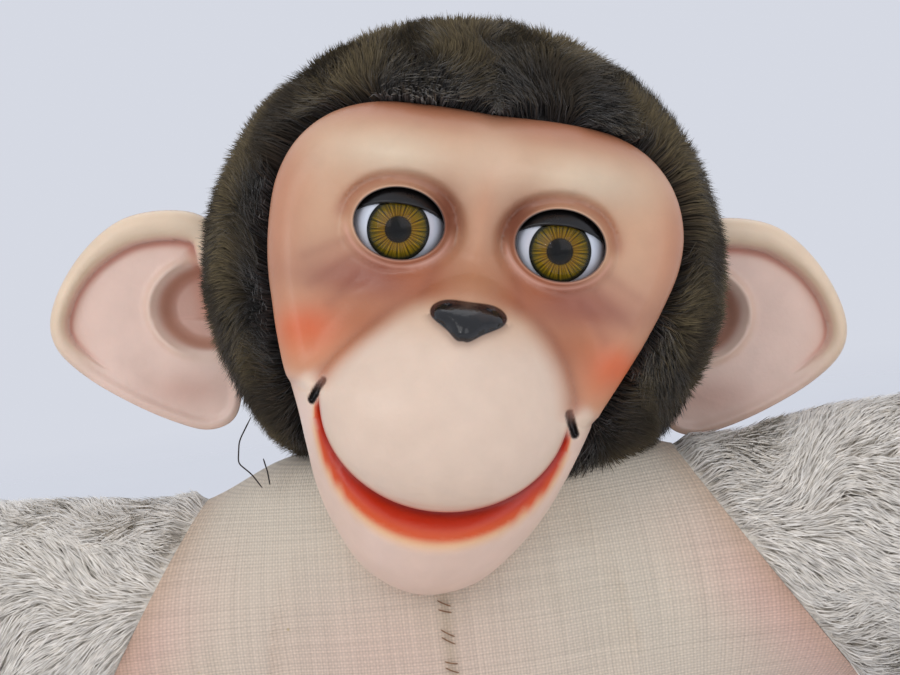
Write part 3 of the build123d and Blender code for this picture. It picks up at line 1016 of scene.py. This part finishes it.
def smooth_table(table, key, column):
    """The table read with a smooth curve between rows."""
    fine = np.linspace(table[0, 0], table[-1, 0], 240)
    raw = np.interp(fine, table[:, 0], table[:, column])
    kernel = np.hanning(25)
    padded = np.pad(raw, 12, mode="edge")
    soft = np.convolve(padded, kernel / kernel.sum(), mode="valid")
    return np.interp(key, fine, soft)


def torso_field(x, y, z):
    rx, ry = smooth_table(SECTIONS, z, 1), smooth_table(SECTIONS, z, 2)
    middle = SPINE_Y + smooth_table(SECTIONS, z, 3)
    q = np.sqrt((x / rx) ** 2 + ((y - middle) / ry) ** 2)
    return (q - 1) * np.minimum(rx, ry) * 0.9


def tube_field(m, table, x, y, z):
    """A limb about its own X axis."""
    p = [x - m[0, 3], y - m[1, 3], z - m[2, 3]]
    s, v, w = (p[0] * m[0, i] + p[1] * m[1, i] + p[2] * m[2, i] for i in range(3))
    radial = np.sqrt(v * v + w * w) - smooth_table(table, s, 1)
    return np.maximum(radial, np.maximum(s - table[-1, 0], table[0, 0] - s))


def body_field(x, y, z):
    d = torso_field(x, y, z)
    for side in (1, -1):
        arm = tube_field(arm_frame(side), ARM_TUBE, x, y, z)
        leg = tube_field(leg_frame(side), LEG_TUBE, x, y, z)
        d = smooth_min(d, arm, 16.0 + 10.0 * smoothstep(150, 120, z))
        d = smooth_min(d, leg, 9.0)
    d = smooth_max(d, z - NECK_TOP, 9.0)
    return np.maximum(d, 0.4 - z)


RAGLAN_TOP = 51.0  # the seam's start beside the neck; it leans out and down over the shoulder
RAGLAN_SLOPE = math.radians(32)
HIP_SEAM = 20.0  # along the leg from its pivot
WAIST = 96.0
BODY_CELL = 2.3


def raglan(side):
    """(point, outward normal) of the plane that holds the shoulder seam."""
    point = np.array([side * RAGLAN_TOP, SPINE_Y, NECK_TOP])
    return point, np.array([side * math.cos(RAGLAN_SLOPE), 0, math.sin(RAGLAN_SLOPE)])


def hip_seam(side):
    m = leg_frame(side)
    return m[:3, 3] + HIP_SEAM * m[:3, 0], m[:3, 0]


def weave_coords(points):
    """Distances along the cloth, across the body and up it."""
    x, y, z = points.T
    radius = smooth_table(SECTIONS, z, 1)
    t = np.arctan2(x / radius, np.abs(y - SPINE_Y) / 42 + 0.25)
    return (x * 0.6 + radius * t * 0.4) * MM * 1.02, z * MM


def muslin_paint(points):
    x, y, z = points.T
    front = smoothstep(SPINE_Y - 5, SPINE_Y - 25, y)
    layers = []
    for side in (1, -1):
        p, n = raglan(side)
        seam = -((points - p) @ n)
        layers += [
            ((226, 168, 154), 0.65 * gauss(seam, 14) * smoothstep(190, 150, z)),
            ((196, 160, 128), 0.45 * gauss(seam, 4)),
        ]
    return coated(flat_colour(len(x), (224, 211, 190)), layers + [
        # pinkish darkening on the chest under the chin: painted shadow of the chin, with the face's pink light
        # bounced onto it
        ((224, 180, 164), 0.45 * bump((x + 14) / 34, (z - 152) / 20) * front),
        ((230, 196, 180), 0.30 * smoothstep(165, 110, z) * front),
        ((186, 166, 138), 0.5 * gauss(x, 1.6) * front),
    ])


def make_body():
    span = abs(SHOULDER[1][0]) + ARM_TUBE[-1, 0] + 6
    low = (-span, SPINE_Y - 190, -3)
    high = (span, SPINE_Y + 62, 212)
    points, quads = skin_of(body_field, low, high, BODY_CELL)
    whole = make_mesh("body_skin", points, quads, None)
    for side in (1, -1):
        name = SIDE[side]
        shoulder, out = raglan(side)
        hip, along = hip_seam(side)
        half = copy_of(whole, f"half_{name}")
        cut(half, (0, 0, 0), (-side, 0, 0))
        sleeve = copy_of(half, f"sleeve_{name}")
        cut(sleeve, shoulder, -out)
        chest = copy_of(half, f"muslin_chest_{name}")
        cut(chest, shoulder, out)
        trouser = copy_of(chest, f"leg_{name}")
        cut(trouser, hip, -along)
        cut(chest, hip, along)
        seat = copy_of(chest, f"muslin_seat_{name}")
        cut(chest, (0, 0, WAIST), (0, 0, -1))
        for lower in (seat, trouser):
            cut(lower, (0, 0, WAIST), (0, 0, 1))
        bpy.data.objects.remove(half)
        finish_muslin(chest, side, "arm", [f"chest_panel_{name}", "torso_stuffing"])
        finish_muslin(seat, side, "leg", ["seat_panel", "back_panel"])
        finish_plush(sleeve, side, "arm")
        finish_plush(trouser, side, "leg")
    bpy.data.objects.remove(whole)


# bend: (lean, start, end) of the blend; pile: (length, width) of a blade; cuff, joint: how far along the limb
LIMBS = {
    "arm": dict(frame=arm_frame, bend=(0.3, -8, 30), blades=62000, pile=(8.0, 0.42), seed=0, cuff=132.0,
                tape="wrist", end="hand", joint=136.0),
    "leg": dict(frame=leg_frame, bend=(-0.9, -18, 26), blades=40000, pile=(8.4, 0.55), seed=5, cuff=138.0,
                tape="ankle", end="foot", joint=142.0),
}


def copy_of(obj, name):
    new = bpy.data.objects.new(name, obj.data.copy())
    new.data.name = name
    bpy.context.scene.collection.objects.link(new)
    return new


def smooth_by_field(obj, points):
    """Shades the mesh with the field's own normals, so that pieces cut from one skin meet unseen."""
    for poly in obj.data.polygons:
        poly.use_smooth = True
    obj.data.normals_split_custom_set_from_vertices([tuple(v) for v in normals_of(body_field, points)])


def bend_with(obj, side, limb):
    """Bakes the object's placement into its mesh; the limb's frame and blend (lean, start, end) are looked up but
    not applied.
    """
    m, (lean, start, end) = LIMBS[limb]["frame"](side), LIMBS[limb]["bend"]
    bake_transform(obj)


def finish_muslin(obj, side, limb, nodes):
    points = points_of(obj)
    sunk = 0.45 * gauss(points[:, 0], 1.2)
    points = points - normals_of(body_field, points) * sunk[:, None]
    set_points(obj, points)
    paint(obj.data, "Paint", muslin_paint(points))
    u, v = weave_coords(points)
    add_values(obj, "WeaveU", u)
    add_values(obj, "WeaveV", v)
    obj.data.materials.append(MUSLIN)
    smooth_by_field(obj, points)
    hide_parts(*nodes)
    bend_with(obj, side, limb)


def plush_paint(points, rng):
    """Root and tip colours of grey-white plush."""
    n = len(points)
    root = coated(flat_colour(n, (224, 214, 200)), [((238, 229, 216), rng.uniform(0, 1, n))])
    tip = coated(flat_colour(n, (238, 230, 216)), [((252, 247, 238), rng.uniform(0, 1, n))])
    return root, tip


def finish_plush(obj, side, limb):
    name, kind = SIDE[side], LIMBS[limb]
    points = points_of(obj)
    set_points(obj, points - normals_of(body_field, points) * BLADE_SINK)
    obj.name = f"{limb}_plush_backing_{name}"
    obj.data.materials.append(PLUSH_BACKING)
    smooth_by_field(obj, points)
    rng = np.random.default_rng(SEED + 11 + side + kind["seed"])
    roots = scatter(points, triangles_of(obj), kind["blades"], rng)
    normals = normals_of(body_field, roots)
    along = np.tile(kind["frame"](side)[:3, 0], (len(roots), 1))
    swirl = wave_noise(roots, 28.0, rng)
    comb = along * 0.9 + np.cross(normals, along) * swirl[:, :1] + np.array([0, 0, -0.35])
    fur = make_fur(f"{limb}_plush_pile_{name}", roots, normals, comb, kind["pile"], 0.38,
                   plush_paint(roots, rng), ARM_PILE, rng, soft=True)
    for piece in (obj, fur):
        bend_with(piece, side, limb)
    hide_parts(f"{limb}_cover_{name}", f"{limb}_stuffing_{name}")


# ---------------------------------------------------------------- fur


BLADE_SINK = 0.3  # how far a blade starts under the cloth, and the backing under the pile's cloth
FLOOR_LIFT = 0.2  # the pile under the doll is pressed flat on the floor


def scatter(points, tris, count, rng):
    """Random places on a mesh, evenly by area."""
    a, b, c = points[tris[:, 0]], points[tris[:, 1]], points[tris[:, 2]]
    area = np.linalg.norm(np.cross(b - a, c - a), axis=1)
    pick = rng.choice(len(tris), count, p=area / area.sum())
    u, v = rng.uniform(0, 1, (2, count))
    flip = u + v > 1
    u, v = np.where(flip, 1 - u, u), np.where(flip, 1 - v, v)
    return a[pick] + u[:, None] * (b - a)[pick] + v[:, None] * (c - a)[pick]


def wave_noise(points, wavelength, rng):
    """A smooth random vector field, about -1 to 1."""
    out = np.zeros((len(points), 3))
    for _ in range(7):
        k = rng.normal(0, 1, 3)
        k *= rng.uniform(0.6, 1.6) * 2 * math.pi / wavelength / np.linalg.norm(k)
        for axis in range(3):
            out[:, axis] += np.sin(points @ k + rng.uniform(0, 6.28))
    return out / 2.6


def make_fur(name, roots, normals, comb, size, stand, colours, material, rng, soft=False):
    """Tapered two-step blades. stand is how upright they are; blades lean together in clumps.

    Soft pile is shaded with the cloth's own normals, as fine silky plush is.
    """
    n = len(roots)
    length, width = size
    length = length * rng.uniform(0.7, 1.15, n)[:, None]
    lean = comb - (comb * normals).sum(1)[:, None] * normals + rng.normal(0, 0.28, (n, 3))
    lean -= (lean * normals).sum(1)[:, None] * normals
    lean /= np.maximum(np.linalg.norm(lean, axis=1), 1e-6)[:, None]
    rise = stand * rng.uniform(0.75, 1.25, n)[:, None]
    flat = np.sqrt(np.clip(1 - rise**2, 0.05, 1))
    upright = 0.55 * np.minimum(rise * 1.35, 0.98)
    middle = roots + length * (upright * normals + 0.5 * flat * 0.75 * lean)
    tip = roots + length * (rise * normals + flat * lean)
    centres = roots[rng.choice(n, max(8, int(n * 0.045)), replace=False)]
    clumps = len(centres)
    tree = KDTree(clumps)
    for i, c in enumerate(centres):
        tree.insert(c, i)
    tree.balance()
    nearest = np.array([tree.find(p)[1] for p in roots])
    counts = np.bincount(nearest, minlength=clumps)[:, None]
    sums = [np.bincount(nearest, weights=tip[:, axis], minlength=clumps) for axis in range(3)]
    meeting = np.stack(sums, 1) / np.maximum(counts, 1)
    pull = rng.uniform(0.25, 0.6, n)[:, None]
    tip = tip + (meeting[nearest] - tip) * pull
    middle = middle + (meeting[nearest] - middle) * pull * 0.25
    across = np.cross(normals, lean) + rng.normal(0, 0.35, (n, 3))
    across /= np.linalg.norm(across, axis=1)[:, None]
    half = across * width / 2
    sunk = roots - normals * BLADE_SINK
    blades = np.stack([sunk - half, sunk + half, middle - half * 0.8, middle + half * 0.8, tip], 1)
    points = blades.reshape(-1, 3)
    points[:, 2] = np.maximum(points[:, 2], FLOOR_LIFT)
    base = np.arange(n)[:, None] * 5
    quads = base + np.array([0, 2, 3, 1])
    tris = base + np.array([2, 4, 3])
    root_c, tip_c = colours
    half_c = root_c * 0.45 + tip_c * 0.55
    shade = np.stack([root_c, root_c, half_c, half_c, tip_c], 1)
    obj = make_mesh(name, points, [quads, tris], material, shade.reshape(-1, 3))
    if soft:
        lit = np.repeat(normals + rng.normal(0, 0.16, (n, 3)) + lean * 0.15, 5, axis=0)
        lit /= np.linalg.norm(lit, axis=1)[:, None]
        obj.data.normals_split_custom_set_from_vertices(lit.tolist())
    return obj


# ---------------------------------------------------------------- hood

HOOD_BASE = np.array([56.4, 54.0, 53.6])
HOOD_BLADES = 185000
HOOD_PILE_SIZE = (8.0, 0.36)
GUSSET_HALF = 13
NECK_HOLE_R = 30.5


def hood_open(points):
    """True where the hood has cloth: outside the mask's edge and above the neck."""
    f = unplace(MASK, points)
    edge = closed_curve(FACE_EDGE, 160)
    edge[:, 0] = askew(edge[:, 0], edge[:, 1])
    behind = unplace(HEAD, points)[:, 1] > -6
    margin = inside(edge, f[:, 0], f[:, 2])
    throat = (np.abs(f[:, 0]) < 27.0) & (f[:, 2] < -45)
    clear = behind | ((margin < 0.4) & ~throat)
    return clear & (np.linalg.norm(points - NECK, axis=1) > NECK_HOLE_R)


def make_hood():
    down = np.linspace(0, math.pi, 90)
    turn = np.linspace(0, FULL_TURN, 160, endpoint=False)
    aa, tt = np.meshgrid(down, turn, indexing="ij")
    sphere = np.stack([np.sin(aa) * np.cos(tt), np.sin(aa) * np.sin(tt), np.cos(aa)], -1)
    points = place(HEAD, sphere.reshape(-1, 3) * HOOD_BASE)
    quads = grid_quads(len(down), len(turn), flipped=True)
    quads = quads[hood_open(points[quads].mean(1))]
    backing = make_mesh("hood_backing", points, quads, BACKING)
    with edited(backing) as bm:
        bmesh.ops.remove_doubles(bm, verts=bm.verts, dist=WELD)
        drop_loose(bm)
    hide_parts("head_stuffing")
    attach(backing, "head")
    make_hood_pile(backing)


def make_hood_pile(backing):
    rng = np.random.default_rng(SEED + 3)
    roots = scatter(points_of(backing), triangles_of(backing), HOOD_BLADES, rng)
    roots = roots[hood_open(roots)]
    across = unplace(HEAD, roots)[:, 0]
    normals = roots - HEAD[:3, 3]
    normals /= np.linalg.norm(normals, axis=1)[:, None]
    swirl = wave_noise(roots, 26.0, rng)
    back = np.tile(HEAD[:3, 1], (len(roots), 1))
    down = np.tile(-HEAD[:3, 2], (len(roots), 1))
    comb = back * 0.2 + down * 0.35 + swirl * 1.3
    tone = 0.5 + 0.5 * wave_noise(roots, 30.0, rng)[:, 0]
    # tips lighter at random and where the pile faces up: random tone with painted light on the top of the head
    lit = np.clip(tone + 0.35 * normals[:, 2], 0, 1)
    n = len(roots)
    root_c = flat_colour(n, (24, 16, 12))
    tip_c = coated(flat_colour(n, (56, 47, 32)), [
        ((128, 112, 78), lit * rng.uniform(0.2, 1.0, n)),
        ((96, 78, 58), 0.35 * (rng.uniform(0, 1, n) > 0.85)),
    ])
    panels = {
        "hood_crown_gusset": np.abs(across) <= GUSSET_HALF,
        "hood_side_left": across > GUSSET_HALF,
        "hood_side_right": across < -GUSSET_HALF,
    }
    for index, (node, mask) in enumerate(panels.items()):
        fur = make_fur(f"{node}_pile", roots[mask], normals[mask], comb[mask], HOOD_PILE_SIZE, 0.80,
                       (root_c[mask], tip_c[mask]), HOOD_PILE, np.random.default_rng(SEED + 30 + index))
        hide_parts(node)
        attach(fur, "head")


# ---------------------------------------------------------------- hands and feet


def capsule_field(x, y, z, a, b, ra, rb):
    a, b = np.asarray(a, float), np.asarray(b, float)
    e = b - a
    t = np.clip(((x - a[0]) * e[0] + (y - a[1]) * e[1] + (z - a[2]) * e[2]) / (e @ e), 0, 1)
    d = np.sqrt((x - a[0] - e[0] * t) ** 2 + (y - a[1] - e[1] * t) ** 2 + (z - a[2] - e[2] * t) ** 2)
    return d - (ra + (rb - ra) * t)


def ellipsoid_field(x, y, z, centre, radii):
    q = np.sqrt(sum(((v - c) / r) ** 2 for v, c, r in zip((x, y, z), centre, radii)))
    return (q - 1) * min(radii)


def hand_field(x, y, z):
    """Palm down, fingers out along X, thumb towards -Y."""
    d = ellipsoid_field(x, y, z, (24, 0, 0), (21, 17.5, 9.5))
    d = smooth_min(d, capsule_field(x, y, z, (-8, 0, 0), (14, 0, 0), 14.5, 12), 7)
    for i, reach in enumerate((56, 61, 60, 54)):
        side = (i - 1.5) * 8.8
        finger = (34, side * 0.9, 0.5), (reach - 8, side * 1.12, -1.5), 5.0, 4.4
        d = smooth_min(d, capsule_field(x, y, z, *finger), 2.4)
    thumb = capsule_field(x, y, z, (16, -13, -1), (33, -25.5, -4), 6.0, 5.0)
    return smooth_min(d, thumb, 4.5)


def foot_field(x, y, z):
    """Sole at the far end of X, toes up, the big toe towards -Y. Heights are from the ankle's axis."""
    d = capsule_field(x, y, z, (8, 0, -16), (13, 0, 14), 12.0, 13.5)
    d = smooth_min(d, ellipsoid_field(x, y, z, (15, 0, 10), (9.5, 18, 17)), 5)
    d = smooth_min(d, capsule_field(x, y, z, (-8, 0, 0), (10, 0, -2), 14.5, 13), 9)
    for i, top in enumerate((33.5, 36.5, 36, 34, 30.5)):
        side = (i - 2) * 7.6
        size = (5.6, 4.3, 4.2, 4.0, 3.7)[i]
        toe = capsule_field(x, y, z, (15, side * 0.9, 16), (14.5, side * 1.06, top - size), size, size * 0.94)
        d = smooth_min(d, toe, 1.4)
    return d


EXTREMITY_CELL = 0.9


def make_extremity(side, limb):
    kind = LIMBS[limb]
    if limb == "arm":
        field, low, high = hand_field, (-12, -36, -17), (66, 24, 17)
    else:
        field, low, high = foot_field, (-12, -24, -32), (32, 24, 42)
    points, quads = skin_of(field, low, high, EXTREMITY_CELL)
    x, y, z = points.T
    near_tip = smoothstep(40, 60, x) if limb == "arm" else smoothstep(22, 38, z)
    layers = [((206, 148, 116), 0.5 * smoothstep(16, 2, x)), ((214, 150, 120), 0.7 * near_tip)]
    for i in range(4 if limb == "arm" else 0):
        nail = bump((x - 55 + abs(i - 1.2)) / 3.0, (y - (i - 1.5) * 9.4) / 2.4) * smoothstep(0, 3, z)
        layers.append(((240, 214, 198), 0.8 * nail))
    c = coated(flat_colour(len(x), (228, 188, 160)), layers)
    local = points * (1, side, 1) + (kind["joint"], 0, 0)
    node = kind["end"]
    obj = make_mesh(f"{node}_vinyl_{SIDE[side]}", place(kind["frame"](side), local), quads, VINYL, c,
                    extra={"Gloss": np.full(len(x), 0.15)})
    fix_normals(obj)
    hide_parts(f"{node}_{SIDE[side]}")
    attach(obj, f"{limb}_{SIDE[side]}")


TAPE_R = 17.2


def make_binding(side, limb):
    """A gathered tape tied round the cuff."""
    kind = LIMBS[limb]
    node = kind["tape"]
    turns, rings = 180, 24
    t = np.linspace(0, FULL_TURN, turns, endpoint=False)
    s = np.linspace(0, FULL_TURN, rings, endpoint=False)
    ss, tt = np.meshgrid(s, t, indexing="ij")
    gathers = 0.5 * np.sin(23 * tt + 0.8 * np.sin(5 * tt)) * (0.6 + 0.4 * np.cos(ss))
    radius = TAPE_R + 1.6 * np.cos(ss) + gathers
    along = kind["cuff"] + 4.2 * np.sin(ss)
    points = np.stack([along, radius * np.cos(tt), radius * np.sin(tt)], -1).reshape(-1, 3)
    faces = grid_quads(rings, turns, round_rows=True)
    obj = make_mesh(f"{node}_tape_{SIDE[side]}", place(kind["frame"](side), points), faces, TAPE)
    fix_normals(obj)
    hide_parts(f"{node}_binding_{SIDE[side]}")
    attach(obj, f"{limb}_{SIDE[side]}")


# ---------------------------------------------------------------- stitches and loose threads


def front_of(x, z):
    """Y of the body's front surface at a place."""
    y = np.full(1, SPINE_Y - 75.0)
    for _ in range(60):
        y = y + np.maximum(body_field(np.array([x]), y, np.array([z])), 0.0) * 0.8
    return float(y[0])


def strand(points, radius, sides=7):
    """A round thread through the points, its ends closed to a point."""
    p = np.asarray(points, float)
    tangent = np.gradient(p, axis=0)
    tangent /= np.linalg.norm(tangent, axis=1)[:, None]
    up = np.cross(tangent, [0.31, 0.17, 0.93])
    up /= np.linalg.norm(up, axis=1)[:, None]
    side = np.cross(tangent, up)
    t = np.linspace(0, FULL_TURN, sides, endpoint=False)
    taper = np.sqrt(np.clip(np.sin(np.linspace(0.05, math.pi - 0.05, len(p))) * 3, 0, 1)) * radius
    spokes = up[:, None] * np.cos(t)[None, :, None] + side[:, None] * np.sin(t)[None, :, None]
    rings = p[:, None] + taper[:, None, None] * spokes
    return rings.reshape(-1, 3), grid_quads(len(p), sides)


def join_strands(name, strands, material):
    points, faces, start = [], [], 0
    for p, f in strands:
        points.append(p)
        faces.append(f + start)
        start += len(p)
    return make_mesh(name, np.concatenate(points), np.concatenate(faces), material)


STITCH_PITCH = 6.6
STITCH_PAIR = 1.7  # between the two threads of a stitch
STITCH_R, LOOSE_R = 0.16, 0.17


def make_stitches():
    """Pairs of short slanting threads across the centre seam, sunk where they cross it."""
    rng = np.random.default_rng(SEED + 5)
    low, high = (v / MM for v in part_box("centre_seam_stitches"))
    strands = []
    z = high[2]
    while z > low[2]:
        for step in (0.0, -STITCH_PAIR):
            lean = rng.uniform(0.4, 1.0)
            bends = [(-1.5, z + step + lean, 0.25), (0.0, z + step, -0.45), (1.4, z + step - lean, 0.25)]
            p = np.array([(x, front_of(x, h) + sunk, h) for x, h, sunk in bends])
            t = np.linspace(0, 1, 9)[:, None]
            pull = 2 * p[1] - 0.5 * (p[0] + p[2])
            curve = (1 - t) ** 2 * p[0] + 2 * t * (1 - t) * pull + t**2 * p[2]
            strands.append(strand(curve, STITCH_R))
        z -= STITCH_PITCH
    obj = join_strands("centre_seam_thread", strands, THREAD)
    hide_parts("centre_seam_stitches")
    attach(obj, "torso")


LOOSE_ENDS = (  # in the face's frame
    ((-45, 24, -47.0), (-47, 21, -53), (-46.5, 20, -58), (-43, 19, -60), (-40, 19, -63)),
    ((-41, 20, -56.0), (-39.5, 19, -59), (-38.5, 19, -62)),
)


def make_loose_thread():
    """The short broken ends that hang from the hood's seam under the right ear."""
    kernel = np.hanning(13) / np.hanning(13).sum()
    strands = []
    for path in LOOSE_ENDS:
        p = place(FACE, np.array(path))
        t = np.linspace(0, len(p) - 1, 12 * len(p))
        curve = [np.interp(t, np.arange(len(p)), p[:, i]) for i in range(3)]
        soft = [np.convolve(np.pad(axis, 6, mode="edge"), kernel, "valid") for axis in curve]
        strands.append(strand(np.stack(soft, 1), LOOSE_R))
    obj = join_strands("hood_seam_thread_ends", strands, DARK_THREAD)
    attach(obj, "head")


# ---------------------------------------------------------------- materials of the CAD nodes that stay


def dress_cad():
    """Looks for the CAD parts that no piece replaces."""
    by_slot = {"wadding": WADDING, "muslin": MUSLIN, "binding": TAPE, "thread": THREAD, "socket": SOCKET,
               "pin_steel": STEEL, "weight_metal": LEAD, "arm_plush": PLUSH_BACKING, "hood_plush": BACKING}
    slots = {s["node"]: s["material_slot"] for s in frame["record"]["subparts"]}
    for node, obj in frame["nodes"].items():
        if slots[node] not in by_slot:
            continue
        for slot in obj.material_slots:
            slot.material = TAPE if node == "neck_stump" else by_slot[slots[node]]


# ---------------------------------------------------------------- stage, light and camera


LIGHTS = (  # name, place and size in metres, power in watts, colour
    ("key", (-0.55, -1.0, 0.85), 0.8, 2.6, (1.0, 0.985, 0.96)),
    ("fill", (0.55, -1.15, 0.6), 0.7, 1.5, (0.98, 0.98, 1.0)),
    ("top", (0.1, 0.35, 1.1), 0.9, 1.8, (1.0, 1.0, 1.0)),
    ("window_a", (-0.42, -0.95, 0.62), 0.05, 0.22, (1.0, 1.0, 1.0)),
    ("window_b", (-0.26, -1.0, 0.66), 0.04, 0.12, (1.0, 1.0, 1.0)),
)


def make_stage():
    """A pale sheet on the ground that fades into the studio's own light, so that no horizon shows."""
    bpy.ops.mesh.primitive_circle_add(vertices=96, radius=3.4, fill_type="TRIFAN")
    floor = bpy.context.object
    floor.name = "floor"
    n = Nodes("floor_paper", Roughness=0.95, Specular_IOR_Level=0.1)
    n.colour(n.blend(srgb(238, 240, 244), srgb(246, 247, 250), n.noise(3, 2)))
    away = n.add("ShaderNodeVectorMath", operation="LENGTH")
    n.put(n.coords(), away.inputs[0])
    n.put(n.ramp(away.outputs["Value"], 0.7, 3.2, 1.0, 0.0), n.shader.inputs["Alpha"])
    floor.data.materials.append(n.material)
    world = bpy.data.worlds.new("studio")
    bpy.context.scene.world = world
    world.use_nodes = True
    sky = world.node_tree.nodes["Background"].inputs
    sky["Color"].default_value = (*srgb(228, 232, 243), 1)
    sky["Strength"].default_value = 0.86
    for light in LIGHTS:
        area_light(*light)
    bpy.context.scene.view_settings.view_transform = "Standard"


def area_light(name, at, size, power, colour):
    data = bpy.data.lights.new(name, "AREA")
    data.size, data.energy, data.color = size, power, colour
    light = bpy.data.objects.new(name, data)
    light.location = at
    aim = Vector(FACE[:3, 3] * MM) - Vector(at)
    light.rotation_euler = aim.to_track_quat("-Z", "Y").to_euler()
    bpy.context.scene.collection.objects.link(light)


CAMERA_AWAY = 420.0  # from the plane that is SEEN_HALF wide to either side
CAMERA_BACK = 11.0  # a little further away than that
SEEN_HALF = 96.5
SENSOR = 36.0
CAMERA_PITCH = 2.0
CAMERA_YAW = 3.0
CAMERA_ROLL = 7.2
AIM_OFFSET = (-8.6, 0.0, -20.4)


def make_camera():
    data = bpy.data.cameras.new("camera")
    data.sensor_width = SENSOR
    data.lens = SENSOR / (2 * SEEN_HALF / CAMERA_AWAY)
    camera = bpy.data.objects.new("camera", data)
    bpy.context.scene.collection.objects.link(camera)
    aim = Vector((FACE[:3, 3] + np.array(AIM_OFFSET)) * MM)
    pitch, yaw = math.radians(CAMERA_PITCH), math.radians(CAMERA_YAW)
    level = math.cos(pitch)
    back = Vector((math.sin(yaw) * level, -math.cos(yaw) * level, math.sin(pitch)))
    camera.location = aim + back * (CAMERA_AWAY + CAMERA_BACK) * MM
    turn = (-back).to_track_quat("-Z", "Y").to_matrix()
    roll = Matrix.Rotation(-math.radians(CAMERA_ROLL), 3, "Z")
    camera.rotation_euler = (turn @ roll).to_euler()
    data.clip_start, data.clip_end = 0.01, 50
    bpy.context.scene.camera = camera


dress_cad()
make_face()
eye_parts = eye_materials()
for eye_side in (1, -1):
    make_eye(eye_side, eye_parts)
    make_ear(eye_side)
make_hood()
make_body()
for limb_side in (1, -1):
    for limb_name in ("arm", "leg"):
        make_extremity(limb_side, limb_name)
        make_binding(limb_side, limb_name)
make_stitches()
make_loose_thread()
make_stage()
make_camera()
